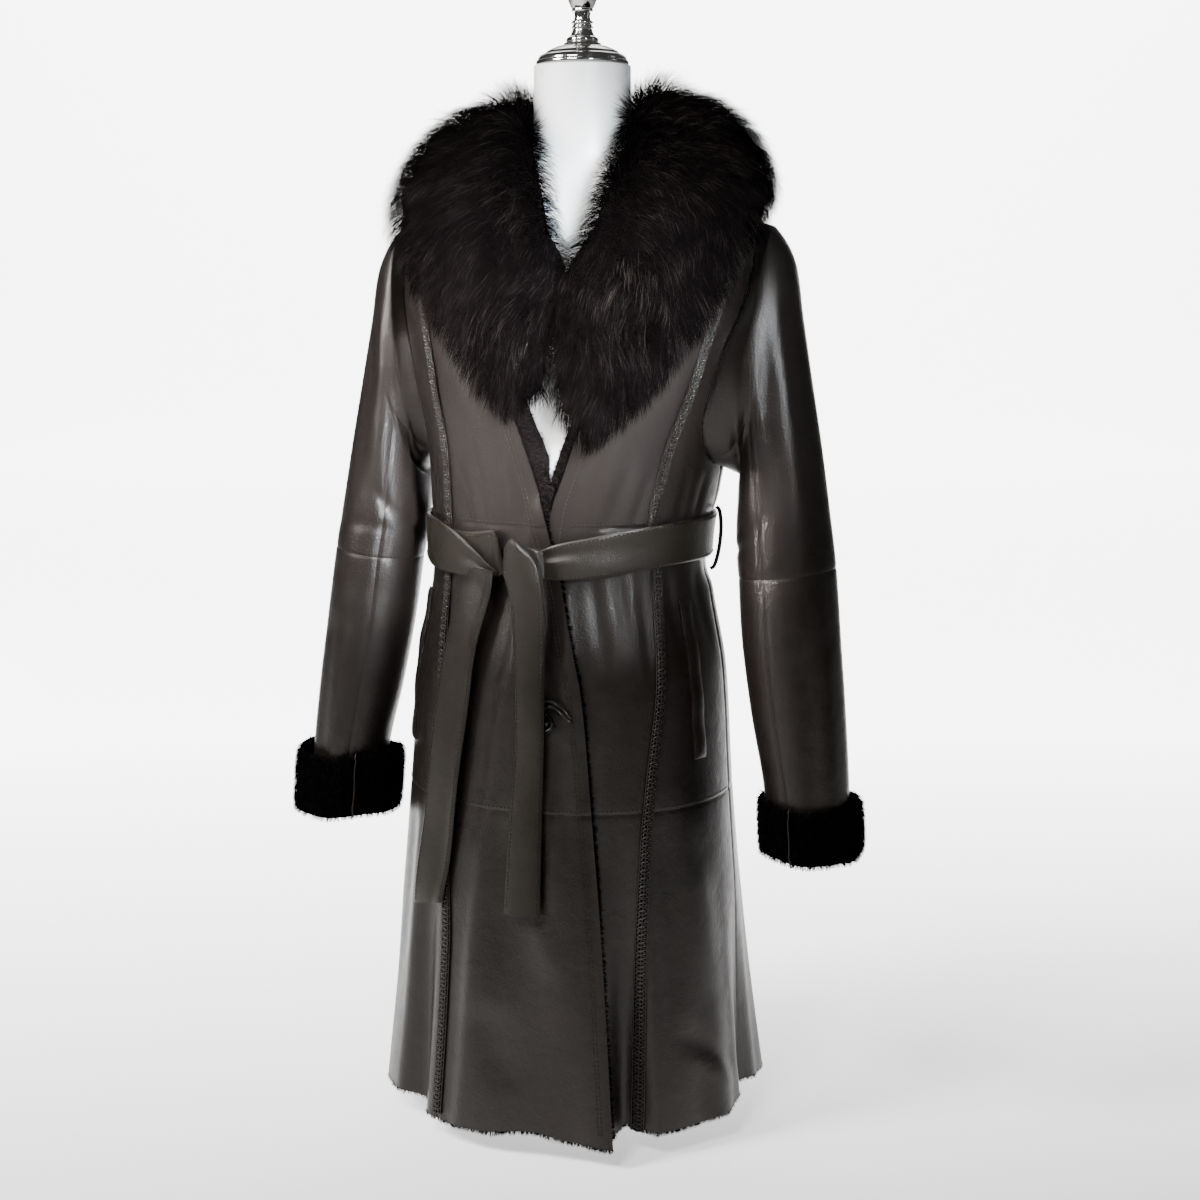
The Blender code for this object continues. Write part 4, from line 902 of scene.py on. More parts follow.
def sheet_normals(spot, a, b):
    step = 0.004
    side = spot(a + step, b) - spot(a - step, b)
    rise = spot(a, np.minimum(b + step, 1.0)) - spot(a, np.maximum(b - step, 0.0))
    return unit(np.cross(side, rise))


def strap(name, node, spot, columns, rows,
          material=BELT_LEATHER, thickness=WALL):
    def place(a, b, depth):
        return spot(a, b) - sheet_normals(spot, a, b) * depth[..., None]

    piece = slab(name, place, crowded(columns, 0.06), crowded(rows, 0.004), material, material,
                 thickness)
    return declare_sheet(keep(piece, node))


# %% The band, from the knot round the back and again to the knot
BAND = [(-4.0, 0.6, 0.0062, -4.0, 0.618, 0.0062),
        (3.5, 0.5975, 0.0092, 2.0, 0.6285, 0.0092),
        (11.0, 0.5985, 0.0136, 8.0, 0.6365, 0.012),
        (20.0, 0.6005, 0.0132, 20.0, 0.644, 0.012),
        (33.0, 0.605, 0.01, 33.0, 0.65, 0.0096),
        (45.0, 0.609, 0.0086, 45.0, 0.6538, 0.0086),
        (65.0, 0.611, 0.0062, 65.0, 0.656, 0.0062),
        (85.0, 0.61, 0.003, 85.0, 0.655, 0.003),
        (105.0, 0.61, 0.0018, 105.0, 0.655, 0.0018),
        (122.0, 0.6108, 0.0052, 122.0, 0.6558, 0.0052)]
BAND += [(angle, 0.61 + rise, 0.0074, angle, 0.655 + rise, 0.0074)
         for angle, rise in ((145, 0.0015), (165, 0.002),
                             (185, 0.002), (205, 0.0015), (225, 0.001), (245, 0.0),
                             (265, -0.002), (280, -0.004))]
BAND += [(292.0, 0.6035, 0.0068, 292.0, 0.6505, 0.0064),
         (304.0, 0.5995, 0.0084, 304.0, 0.652, 0.0076),
         (314.0, 0.5975, 0.0098, 313.0, 0.651, 0.009),
         (324.0, 0.5965, 0.011, 326.5, 0.6415, 0.0108),
         (334.0, 0.596, 0.012, 337.0, 0.6255, 0.0124),
         (342.0, 0.5962, 0.0122, 344.0, 0.611, 0.0128),
         (346.5, 0.5995, 0.0112, 347.5, 0.6045, 0.0116)]
BAND_RIPPLES = [(0.8, 0.045, 0.1, 0.03, -0.0019), (0.5, 0.075, 0.1, 0.03, 0.0016),
                (0.68, 0.085, 0.1, 0.04, -0.0022), (0.3, 0.12, 0.14, 0.04, 0.001),
                (0.55, 0.2, 0.16, 0.04, -0.001), (0.3, 0.88, 0.14, 0.03, 0.0012),
                (0.6, 0.93, 0.12, 0.03, -0.0012), (0.4, 0.5, 0.2, 0.03, 0.001),
                (0.6, 0.62, 0.16, 0.03, -0.001), (0.45, 0.38, 0.16, 0.04, -0.0009)]


def band_spot(a, b):
    return strap_spot(BAND, 1.0 - a, b, BELT_WIDTH, ripples=BAND_RIPPLES)


strap("belt_band_leather", "belt_band", band_spot, 12, 170)

# %% The tuck behind the band, and the short turn inside the knot
TUCK = [(-45.0, 0.633, 0.004, -45.0, 0.642, 0.004),
        (-38.0, 0.627, 0.005, -38.0, 0.6425, 0.0052),
        (-30.0, 0.616, 0.0058, -30.0, 0.642, 0.0066),
        (-23.0, 0.603, 0.0064, -22.5, 0.644, 0.0086),
        (-16.5, 0.5985, 0.0072, -15.8, 0.647, 0.011),
        (-12.6, 0.5995, 0.0092, -13.6, 0.6455, 0.0138),
        (-10.6, 0.603, 0.008, -12.4, 0.64, 0.0112)]


def tuck_spot(a, b):
    return strap_spot(TUCK, 1.0 - a, b, 0.03, ripples=[(0.45, 0.62, 0.2, 0.16, -0.0012)])


strap("belt_tuck_leather", None, tuck_spot, 10, 40)

KNOT = [(-11.5, 0.601, 0.009, -10.5, 0.626, 0.009),
        (-8.5, 0.5975, 0.014, -8.0, 0.631, 0.014),
        (-4.0, 0.5965, 0.016, -4.0, 0.633, 0.016),
        (0.0, 0.5975, 0.015, 0.0, 0.632, 0.015),
        (3.5, 0.6, 0.011, 3.0, 0.627, 0.011)]


def knot_spot(a, b):
    return strap_spot(KNOT, 1.0 - a, b, 0.04, ripples=[(0.5, 0.3, 0.12, 0.2, -0.0016)])


strap("belt_turn_leather", "belt_knot", knot_spot, 12, 16)

# %% The front end: up behind the knot, over it and down the front
FRONT_TAIL = np.array([
    (0.636, -6.5, -1.0, 0.015), (0.645, -7.0, 0.2, 0.0205), (0.6435, -7.4, 1.6, 0.0275),
    (0.631, -7.2, 3.0, 0.031), (0.608, -7.6, 4.2, 0.03), (0.57, -5.8, 4.8, 0.0255),
    (0.51, -4.0, 4.9, 0.019), (0.442, -3.4, 5.0, 0.015), (0.368, -4.2, 4.7, 0.0128),
    (0.256, -5.2, 4.8, 0.0124)])


def front_tail_spot(a, b):
    """a runs across and b up; the top is arched over the knot and its right edge rolls under."""
    place = (1.0 - b) * (len(FRONT_TAIL) - 1.0)
    z, left, right, lift = along(FRONT_TAIL, place)
    gathered = np.clip(1.0 - place / 5.0, 0.0, 1.0)
    arch = np.where(a > 0.35, 0.018 * ((a - 0.35) / 0.65) ** 2, 0.01 * ((0.35 - a) / 0.35) ** 2)
    z = z - arch * smooth_step(gathered * 1.4) * smooth_step(1.6 - place * 0.25)
    crown = mix(0.0034, 0.0085, gathered) * (1.0 - (2.0 * a - 1.0) ** 2)
    twist = mix(0.0012, -0.0035, gathered) * (2.0 * a - 1.0)
    rolled = -0.006 * smooth_step((a - 0.86) / 0.14) * smooth_step(gathered * 1.6)
    ribs = 0.001 * gathered * np.sin(a * 11.0 + 1.0 + 2.0 * b)
    wave = 0.001 * np.sin(b * 26.0 + 1.6 * a) * (1.0 - gathered)
    lift = lift + crown + twist + rolled + ribs + wave + edge_fall(a, 0.03)
    return plain_coat_point(mix(left, right, a), z, lift)


strap("belt_end_front_leather", "belt_tail_front", front_tail_spot, 16, 130)

# %% The side end hangs flat from under the knot
SIDE_TAIL = np.array([
    (0.606, -18.0, 0.0155, 0.016), (0.58, -22.0, 0.013, 0.021), (0.52, -26.5, 0.0105, 0.0228),
    (0.43, -29.5, 0.0095, 0.0228), (0.33, -32.5, 0.009, 0.0228), (0.254, -35.5, 0.009, 0.0228)])
SIDE_TAIL_TURN = math.radians(-20.0)


def tube_angle(point):
    """The angle round the tube at which points lie."""
    centre, half_width, front, back = SECTIONS(point[..., 2])
    x = (point[..., 0] - centre) / half_width
    y = -point[..., 1] / np.where(point[..., 1] < 0, front, back)
    sine = np.copysign(np.abs(x) ** (1.0 / ROUNDING), x)
    cosine = np.copysign(np.abs(y) ** (1.0 / ROUNDING), y)
    return np.degrees(np.arctan2(sine, cosine))


def kept_clear(point, gap):
    """Pushes a hanging piece's points out until they clear the coat by the gap."""
    for _ in range(3):
        angle, z = tube_angle(point), point[..., 2]
        lift = gap + np.where(angle > -45.0, over_lift(angle, z), 0.0)
        outwards = tube_normal(angle, z)
        short = ((plain_coat_point(angle, z, lift) - point) * outwards).sum(axis=-1)
        point = point + outwards * np.maximum(short, 0.0)[..., None]
    return point


def side_tail_spot(a, b):
    across = np.array([math.cos(SIDE_TAIL_TURN), math.sin(SIDE_TAIL_TURN), 0.0])
    z, angle, lift, half_width = along(SIDE_TAIL, (1.0 - b) * (len(SIDE_TAIL) - 1.0))
    middle = plain_coat_point(angle, z, lift)
    spot = middle + across * ((2.0 * a - 1.0) * half_width)[..., None]
    spot[..., 2] -= 0.01 * (1.0 - a) * np.clip(1.0 - b, 0.0, 1.0) ** 4
    spot = kept_clear(spot, 0.0056)
    swell = (0.0022 * np.sin(a * math.pi) + 0.0012 * np.sin(b * 19.0 + 2.0 * a)
             + 0.003 * smooth_step((a - 0.7) / 0.3) + edge_fall(a, 0.045))
    return spot + tube_normal(angle, z) * swell[..., None]


strap("belt_end_side_leather", "belt_tail_side", side_tail_spot, 14, 90)
print("belt pieces are built")

# %% [markdown]
# ## Cords, loops and the laced braid
# The braid over each front seam is openwork: two thin corded edges with leather lacing crossed
# between them. A cord is a round section swept along a path, so every lace is one of those.

# %% Cords
def cord_mesh(name, paths, radius, material, sides=6):
    """Round cords along several paths, each an array of points; a curve with a bevel sweeps them."""
    curve = bpy.data.curves.new(name, "CURVE")
    curve.dimensions = "3D"
    curve.bevel_depth = radius
    curve.bevel_resolution = max((sides - 4) // 2, 0)
    curve.use_fill_caps = True
    for path in paths:
        spline = curve.splines.new("POLY")
        spline.points.add(len(path) - 1)
        flat = np.ones((len(path), 4))
        flat[:, :3] = path
        spline.points.foreach_set("co", flat.ravel())
    swept = placed(name, curve)
    mesh = bpy.data.meshes.new_from_object(swept.evaluated_get(
        bpy.context.evaluated_depsgraph_get()))
    bpy.data.objects.remove(swept)
    bpy.data.curves.remove(curve)
    mesh.name = name
    mesh.shade_smooth()
    mesh.materials.clear()
    mesh.materials.append(material)
    return placed(name, mesh)


# %% The two braids
BRAID_WIDTH, BRAID_TOP_Z, LACE_PITCH = 0.012, 0.9, 0.0085


def braid_path(seam, z, offset, lift):
    """Points beside a front seam, moved along the leather by offset and off it by lift."""
    return coat_point(seam(z) + np.degrees(offset / SECTIONS(z)[1]), z, lift)


def braid(side, seam, low):
    """A near-black bed that paints the shade in the openwork, two corded edges, and the lacing that
    crosses between them.
    """
    def bed(a, b, depth):
        return braid_path(seam, mix(low, BRAID_TOP_Z, b), (a - 0.5) * BRAID_WIDTH, 0.001 - depth)

    keep(slab(f"braid_{side}_bed", bed, np.linspace(0, 1, 3), np.linspace(0.0, 1.0, 90),
              PAINTED_SHADE_IN_BRAID, PAINTED_SHADE_IN_BRAID, 0.0008), None)
    z = np.linspace(low, BRAID_TOP_Z, 200)
    edges = [braid_path(seam, z, offset, 0.0014) for offset in (-0.0058, 0.0058)]
    keep(cord_mesh(f"braid_{side}_edges", edges, 0.00095, LEATHER), None)
    turns = int((BRAID_TOP_Z - low) / LACE_PITCH)
    laces = []
    for start in (0.0, 0.5):
        step = np.arange(0.0, turns, 0.125)
        wave = np.sin(math.tau * (step + start))
        swing = 0.0047 * np.sign(wave) * np.abs(wave) ** 0.8
        over_under = 0.0024 + 0.0008 * np.cos(2.0 * math.tau * (step + start)
                                              + (0.0 if start else math.pi))
        laces.append(braid_path(seam, low + step * LACE_PITCH, swing, over_under))
    knots = np.arange(0.0, turns, 0.25)
    laces.append(braid_path(seam, low + knots * LACE_PITCH,
                            0.001 * np.sin(math.tau * knots * 2.0), 0.0026))
    return keep(cord_mesh(f"braid_{side}_lacing", laces, 0.00092, BRAID_LEATHER),
                f"braid_{side}")


for side, seam, low in (("right", front_seam_right, HEM_Z + 0.006 + 0.004),
                        ("left", front_seam_left, HEM_Z + 0.006)):
    print("braid", side, len(braid(side, seam, low).data.polygons), "faces")

# %% Belt loops, pocket lips, button and its loop
LOOP_RADIUS = 0.0021
for side, angle in (("left", 92.0), ("right", -118.0)):
    share = np.linspace(0.0, 1.0, 40)
    z = 0.6285 + mix(0.033, -0.033, share)
    lift = 0.001 + 0.0092 * np.sin(np.pi * share) ** 0.45
    keep(cord_mesh(f"belt_loop_{side}_cord", [plain_coat_point(np.full(40, angle), z, lift)],
                   LOOP_RADIUS, BELT_LEATHER, sides=10), f"belt_loop_{side}")

POCKET_LOW, POCKET_HIGH = 0.408, 0.572


def pocket(side, inner_angle, outer_angle):
    def spot(a, b):
        z = mix(POCKET_LOW, POCKET_HIGH, b)
        slant = (1.0 - b) * math.copysign(1.5, outer_angle)
        ends = np.clip(np.minimum(b, 1.0 - b) / 0.03, 0.0, 1.0) ** 0.5
        lift = 0.0014 + ends * 0.002 * np.sin(np.pi * np.clip(a, 0.02, 0.98)) ** 0.6
        lift = lift + 0.0006 * np.sin(b * 21.0)
        return plain_coat_point(mix(inner_angle, outer_angle, a) + slant, z, lift)

    return strap(f"pocket_lip_{side}_leather", f"pocket_welt_{side}", spot, 12, 48,
                 LEATHER, 0.0024)


pocket("left", 60.0, 67.5)
pocket("right", -67.5, -60.0)

button_metal = Finish("Dark button metal", Metallic=1.0)
tarnish = button_metal.noise(260.0, 4.0, 0.6)
BUTTON_METAL = button_metal.paint(
    (tarnish, 0.35, 0.65), ((0.02, 0.018, 0.016), (0.085, 0.08, 0.074)),
    (tarnish, 0.3, 0.7), (0.1, 0.26), (tarnish, 0.1, 0.0003))
BUTTON_ANGLE, BUTTON_Z = 4.5, 0.455


def button():
    """A turned shank button, rounded and set square on the leather."""
    bm = spun([(0.0, 0.0), (0.0035, 0.0), (0.0034, 0.0024), (0.0085, 0.0027), (0.0097, 0.0036),
               (0.0098, 0.0044), (0.009, 0.0056), (0.0078, 0.0061), (0.007, 0.0058),
               (0.0062, 0.0051), (0.004, 0.005), (0.002, 0.0056), (0.0, 0.0058)], 48)
    lift = over_lift(np.array(BUTTON_ANGLE), np.array(BUTTON_Z)) + 0.0008
    seat = Vector(plain_coat_point(BUTTON_ANGLE, BUTTON_Z, lift))
    out = Vector(tube_normal(BUTTON_ANGLE, BUTTON_Z))
    bmesh.ops.transform(bm, matrix=Vector((0, 0, 1)).rotation_difference(out).to_matrix().to_4x4(),
                        verts=bm.verts)
    bmesh.ops.translate(bm, vec=seat, verts=bm.verts)
    return finished_mesh("button_turned", bm, BUTTON_METAL, sharp=60.0)


keep(button(), "button")
# The loop comes out of the placket, passes over the button's shank and goes back, twisted.
LOOP_OUT = np.array([(8.2, 0.005), (6.6, 0.011), (4.6, 0.0165), (2.0, 0.0205), (-1.0, 0.021),
                     (-3.0, 0.016), (-3.9, 0.008), (-3.2, -0.001), (-1.4, -0.005)])
LOOP_BACK = np.array([(8.0, 0.001), (6.2, 0.0065), (4.4, 0.011), (2.0, 0.016), (-0.2, 0.015),
                      (-1.8, 0.011), (-2.4, 0.006)])


def loop_path(rows, height, waver):
    place = np.linspace(0.0, len(rows) - 1.0, 60)
    turn, rise = along(rows, place)
    angle, z = BUTTON_ANGLE + turn, BUTTON_Z + rise
    lift = over_lift(angle, z) + height + waver * np.sin(place * 3.4)
    return plain_coat_point(angle, z, lift)


keep(cord_mesh("button_loop_cord", [loop_path(LOOP_OUT, 0.003, 0.001),
                                    loop_path(LOOP_BACK, 0.0028, -0.0012)], 0.0014,
               BRAID_LEATHER, sides=10), "button_loop")
print("loops, pockets and button are built")

# %% [markdown]
# ## Topstitching
# Stitches are small thread beads pressed into the leather. One is modelled, and copies of it are
# joined along each line: two lines inside the overlapping front's edge and one inside the other's,
# one along the edges of the belt and its ends, and one above each of the two level seams in front.

# %% One bead, copied along lines
def pattern_of(bm):
    """A small shape as arrays, ready to be copied many times into one mesh."""
    bm.verts.ensure_lookup_table()
    bm.verts.index_update()
    spots = np.array([vertex.co for vertex in bm.verts])
    faces = [[vertex.index for vertex in face.verts] for face in bm.faces]
    bm.free()
    return spots, faces


def joined_copies(name, pattern, spots, material, attributes=None):
    """spots has one row of points for each copy of the pattern; all copies become one mesh."""
    faces = pattern[1]
    copies, count = spots.shape[0], spots.shape[1]
    sizes = np.array([len(face) for face in faces])
    corners = np.concatenate([np.array(face) for face in faces])
    all_corners = (corners[None, :] + (np.arange(copies) * count)[:, None]).ravel()
    all_sizes = np.tile(sizes, copies)
    mesh = bpy.data.meshes.new(name)
    mesh.vertices.add(copies * count)
    mesh.vertices.foreach_set("co", spots.reshape(-1).astype(np.float32))
    mesh.loops.add(len(all_corners))
    mesh.loops.foreach_set("vertex_index", all_corners.astype(np.int32))
    mesh.polygons.add(len(all_sizes))
    starts = np.concatenate([[0], np.cumsum(all_sizes)[:-1]])
    mesh.polygons.foreach_set("loop_start", starts.astype(np.int32))
    mesh.polygons.foreach_set("loop_total", all_sizes.astype(np.int32))
    mesh.update(calc_edges=True)
    mesh.shade_smooth()
    for key, values in (attributes or {}).items():
        layer = mesh.attributes.new(key, "FLOAT", "POINT")
        layer.data.foreach_set("value", values.reshape(-1).astype(np.float32))
    mesh.materials.append(material)
    return placed(name, mesh)


thread = Finish("Waxed thread", Specular_IOR_Level=0.2)
wax = thread.noise(300.0, 3.0)
THREAD = thread.paint((wax, 0.3, 0.7), ((0.0035, 0.0028, 0.0023), (0.0135, 0.0112, 0.0095)),
                      (wax, 0.3, 0.7), (0.4, 0.6), (thread.noise(1500.0, 2.0), 0.4, 0.0002))
STITCH_LENGTH, STITCH_GAP, STITCH_RADIUS = 0.0034, 0.001, 0.00062

bead = bmesh.new()
ends = [bead.verts.new(spot) for spot in ((-1, 0, 0), (1, 0, 0))]
ring = [bead.verts.new(spot) for spot in ((0, 1, 0), (0, 0, 1), (0, -1, 0), (0, 0, -1))]
for near, far in zip(ring, ring[1:] + ring[:1]):
    bead.faces.new((ends[1], near, far))
    bead.faces.new((ends[0], far, near))
BEAD = pattern_of(bead)


def read_along(lengths, at, rows):
    """Rows of three numbers read at given lengths of a path."""
    return np.stack([np.interp(at, lengths, rows[:, k]) for k in range(3)], axis=-1)


def stitch_line(path, normals):
    """Beads along a path: the points of each, set along it and square to the leather."""
    lengths = np.concatenate([[0.0], np.cumsum(np.linalg.norm(np.diff(path, axis=0), axis=1))])
    at = np.arange(0.003, lengths[-1] - 0.003, STITCH_LENGTH + STITCH_GAP)
    middle = read_along(lengths, at, path)
    way = unit(read_along(lengths, at + 0.0005, path) - middle)
    normal = unit(read_along(lengths, at, normals))
    side = unit(np.cross(way, normal))
    ends = BEAD[0]
    return (middle[:, None] + ends[None, :, 0:1] * way[:, None] * STITCH_LENGTH / 2.0
            + ends[None, :, 1:2] * side[:, None] * STITCH_RADIUS
            + ends[None, :, 2:3] * normal[:, None] * STITCH_RADIUS)


def stitches(name, lines):
    spots = np.concatenate([stitch_line(path, normals) for path, normals in lines])
    return keep(joined_copies(name, BEAD, spots, THREAD), None)


def coat_line(angle, z, over, lift=0.0003):
    raised = over_lift(angle, z) if over else np.zeros_like(z)
    return coat_point(angle, z, raised + lift, over), tube_normal(angle, z)


edge_z = np.linspace(HEM_Z + 0.012, 0.905, 500)
front_lines = []
for inside in (0.0105, 0.014):
    away = np.degrees(inside / SECTIONS(edge_z)[1])
    front_lines.append(coat_line(over_edge(edge_z) - away, edge_z, True))
away = np.degrees(0.012 / SECTIONS(edge_z)[1])
front_lines.append(coat_line(under_edge(edge_z) + away, edge_z, False))
stitches("front_edge_stitches", front_lines)

seam_lines = []
for first, last, over in ((-42.0, 3.0, True), (10.0, 45.0, False), (45.0, 90.0, False),
                          (-90.0, -42.0, False)):
    seam_angle = np.linspace(first + 1.0, last - 1.0, 120)
    for z in (WAIST_SEAM_Z + 0.004, KNEE_SEAM_Z + 0.004):
        if z < 0.5 and over:
            seam_angle = np.linspace(-32.0, 19.0, 160)
        seam_lines.append(coat_line(seam_angle, np.full_like(seam_angle, z), over))
stitches("level_seam_stitches", seam_lines)


def strap_lines(spot, places, low=0.01, high=0.99, count=400):
    lines = []
    b = np.linspace(low, high, count)
    for a in places:
        a = np.full_like(b, a)
        normals = sheet_normals(spot, a, b)
        lines.append((spot(a, b) + normals * 0.0002, normals))
    return lines


stitches("belt_band_stitches", strap_lines(band_spot, (0.07, 0.93), count=900))
stitches("belt_end_stitches", strap_lines(front_tail_spot, (0.1, 0.9))
         + strap_lines(side_tail_spot, (0.075, 0.925)) + strap_lines(tuck_spot, (0.12,)))

# %% [markdown]
# ## The fur
# Every patch of fur is a dark pad of underfur and the long hair that grows from it. One hair is a
# tapered ribbon of a few faces; copies of it are joined. A hair leaves the skin steeply, bends over
# with the lie of the fur, leans towards its tuft and stops a little outside the fur's outline.

# %% Fur finishes
def fur_finish(name, deep, middle, pale):
    made = Finish(name, Specular_IOR_Level=0.0)
    # Specular is off: the tips, painted lighter, and the few hairs that reach the pale colour paint
    # the fur's highlights, on top of its random tone.
    shade = made.node("ShaderNodeAttribute", {"attribute_name": "shade"}, output=2)
    cloud = made.noise(22.0, 3.0, 0.6)
    mixed = made.node("ShaderNodeMath", {"operation": "MULTIPLY_ADD"}, n0=cloud, n1=0.35, n2=shade)
    ramp = made.blend(made.spread(mixed, 0.15, 0.75), deep, middle)
    made.feed("Base Color", made.blend(made.spread(mixed, 0.88, 1.22), ramp, pale))
    made.feed("Roughness", made.spread(mixed, 0.2, 1.2, 0.7, 0.55))
    return made.material


# The pale colour is a painted highlight, reached only by the tips and a few hairs.
LONG_FUR = fur_finish("Long fur", (0.0005, 0.0004, 0.0004), (0.0022, 0.0017, 0.0016),
                      (0.031, 0.0262, 0.0245))
SHORT_FUR = fur_finish("Short fur", (0.0006, 0.0005, 0.0006), (0.0018, 0.0014, 0.0016),
                       (0.0075, 0.0062, 0.006))
UNDERFUR = pile_finish("Underfur", (0.001, 0.0008, 0.0007), (0.003, 0.0024, 0.0022))


# %% One hair, and how hair grows from a skin
def hair_pattern(joints):
    """A ribbon with a pointed tip, made across x from -1 to 1 and numbered along z."""
    bm = bmesh.new()
    pairs = [(bm.verts.new((-1, 0, k)), bm.verts.new((1, 0, k))) for k in range(joints - 1)]
    tip = bm.verts.new((0, 0, joints - 1))
    for low, high in zip(pairs, pairs[1:]):
        bm.faces.new((low[0], low[1], high[1], high[0]))
    bm.faces.new((pairs[-1][0], pairs[-1][1], tip))
    return pattern_of(bm)


LONG_HAIR, SHORT_HAIR = hair_pattern(4), hair_pattern(3)
LEAN_DOWN = np.array([0.0, 0.0, -1.0])


def nearest_tuft(roots, tufts):
    tree = KDTree(len(tufts))
    for i, root in enumerate(roots[tufts]):
        tree.insert(root, i)
    tree.balance()
    return np.array([tufts[tree.find(root)[1]] for root in roots])


def grown(rng, roots, normals, flow, length, bend, joints, wild, down=0.25):
    """The joints of every hair: steep at the root, with the lie of the fur at the tip."""
    jitter = rng.normal(0.0, wild, roots.shape)
    first = unit(normals * bend[0] + flow * bend[1] + jitter)
    last = unit(normals * bend[2] + flow * bend[3] + LEAN_DOWN * down + jitter * 1.5
                + rng.normal(0.0, wild * 0.6, roots.shape))
    spots = [roots]
    for k in range(joints - 1):
        share = (k + 0.5) / (joints - 1.0)
        way = unit(mix(first, last, share))
        spots.append(spots[-1] + way * (length / (joints - 1.0))[:, None])
    return np.stack(spots, axis=1)


def tufted(rng, spots, tufts, pull):
    """Draws the outer joints of each hair towards those of its tuft."""
    leader = nearest_tuft(spots[:, 0], tufts)
    share = rng.uniform(0.5, 1.0, len(spots))
    for k in range(1, spots.shape[1]):
        strength = (pull * (k / (spots.shape[1] - 1.0)) ** 1.2 * share)[:, None]
        spots[:, k] = mix(spots[:, k], spots[leader, k], strength)
    return leader


def ribbons(rng, name, spots, normals, pattern, radius, shade, material):
    """Turns joints into ribbons that face roughly outwards, and joins them all."""
    joints = spots.shape[1]
    ahead = np.empty_like(spots)
    ahead[:, :-1] = spots[:, 1:] - spots[:, :-1]
    ahead[:, -1] = ahead[:, -2]
    sway = rng.normal(0.0, 0.35, (len(spots), 1, 3))
    side = unit(np.cross(unit(ahead), normals[:, None, :]) + sway)
    level = pattern[0][:, 2].astype(int)
    width = radius[:, None] * mix(1.0, 0.45, level / (joints - 1.0))[None, :] * pattern[0][:, 0]
    points = spots[:, level] + side[:, level] * width[..., None]
    # Each hair's tone rises towards its tip: a painted highlight on the tips, added to the hair's
    # random tone.
    tone = shade[:, None] + 0.22 * (level / (joints - 1.0))[None, :]
    return joined_copies(name, pattern, points, material, {"shade": tone})


# %% The collar's skin, felt out from its heart
COLLAR = np.array([
    (0.0, 0.062, 1.085, 0.0, 0.14, 0.9), (0.034, 0.052, 1.085, 0.078, 0.13, 0.905),
    (0.054, 0.028, 1.085, 0.142, 0.092, 0.93), (0.059, -0.004, 1.08, 0.172, 0.035, 0.95),
    (0.052, -0.034, 1.07, 0.178, -0.035, 0.935), (0.038, -0.068, 1.03, 0.166, -0.09, 0.885),
    (0.02, -0.104, 0.965, 0.142, -0.128, 0.838), (0.009, -0.134, 0.89, 0.11, -0.15, 0.795),
    (0.008, -0.148, 0.825, 0.076, -0.16, 0.76), (0.012, -0.15, 0.772, 0.042, -0.158, 0.735)])
HEART = np.array([0.0, 0.0, 0.75])
Lobe = namedtuple("Lobe", "side last spread rise")
LOBES = {"left": Lobe(1, 9.0, 0.98, 0.0), "right": Lobe(-1, 8.7, 0.82, 0.024)}


def collar_direction(lobe, place, across):
    """Where the collar lies as seen from its heart; place runs from the back to a front tip."""
    row = along(COLLAR, place)
    front = smooth_step((place - 4.0) / 3.0)
    throat = smooth_step((place - 3.5) / 1.5) * smooth_step((8.2 - place) / 1.5)
    spread = mix(1.0, lobe.spread, smooth_step(place / 3.0))
    inner = np.stack([row[0] + lobe.side * 0.013 * throat, row[1], row[2]], axis=-1)
    outer = np.stack([row[3] * spread, row[4], row[5] + lobe.rise * front], axis=-1)
    spot = mix(inner, outer, across[..., None])
    spot[..., 0] = lobe.side * spot[..., 0] + 0.012 * front
    return unit(spot - HEART)


def feel(tree, directions, inwards):
    """How far the collar's under or upper side is from the heart along each direction."""
    felt = np.full(directions.shape[:-1], np.nan)
    for index in np.ndindex(felt.shape):
        way = Vector(directions[index])
        start = Vector(HEART) + way * (0.6 if inwards else 0.02)
        hit = tree.ray_cast(start, -way if inwards else way)[0]
        if hit is not None:
            felt[index] = (hit - Vector(HEART)).length
    return felt


def filled_and_softened(values, turns):
    """Fills what no ray reached from its neighbours, then smooths."""
    known = ~np.isnan(values)
    values = np.where(known, values, np.nanmean(values))
    for turn in range(turns + 12):
        padded = np.pad(values, 1, mode="edge")
        blurred = (padded[:-2, 1:-1] + padded[2:, 1:-1] + padded[1:-1, :-2] + padded[1:-1, 2:]
                   + 2.0 * padded[1:-1, 1:-1]) / 6.0
        values = np.where(known & (turn < 12), values, blurred)
    return values


HAIR_DEPTH = 0.0095         # from the fur's outline down to the pad


def by_the_gap(lobe, place, fade):
    """1 where the two front lobes lie side by side, and 0 away from there."""
    return smooth_step((place - 6.2) / 0.9) * smooth_step((lobe.last + 0.1 - place) / fade)


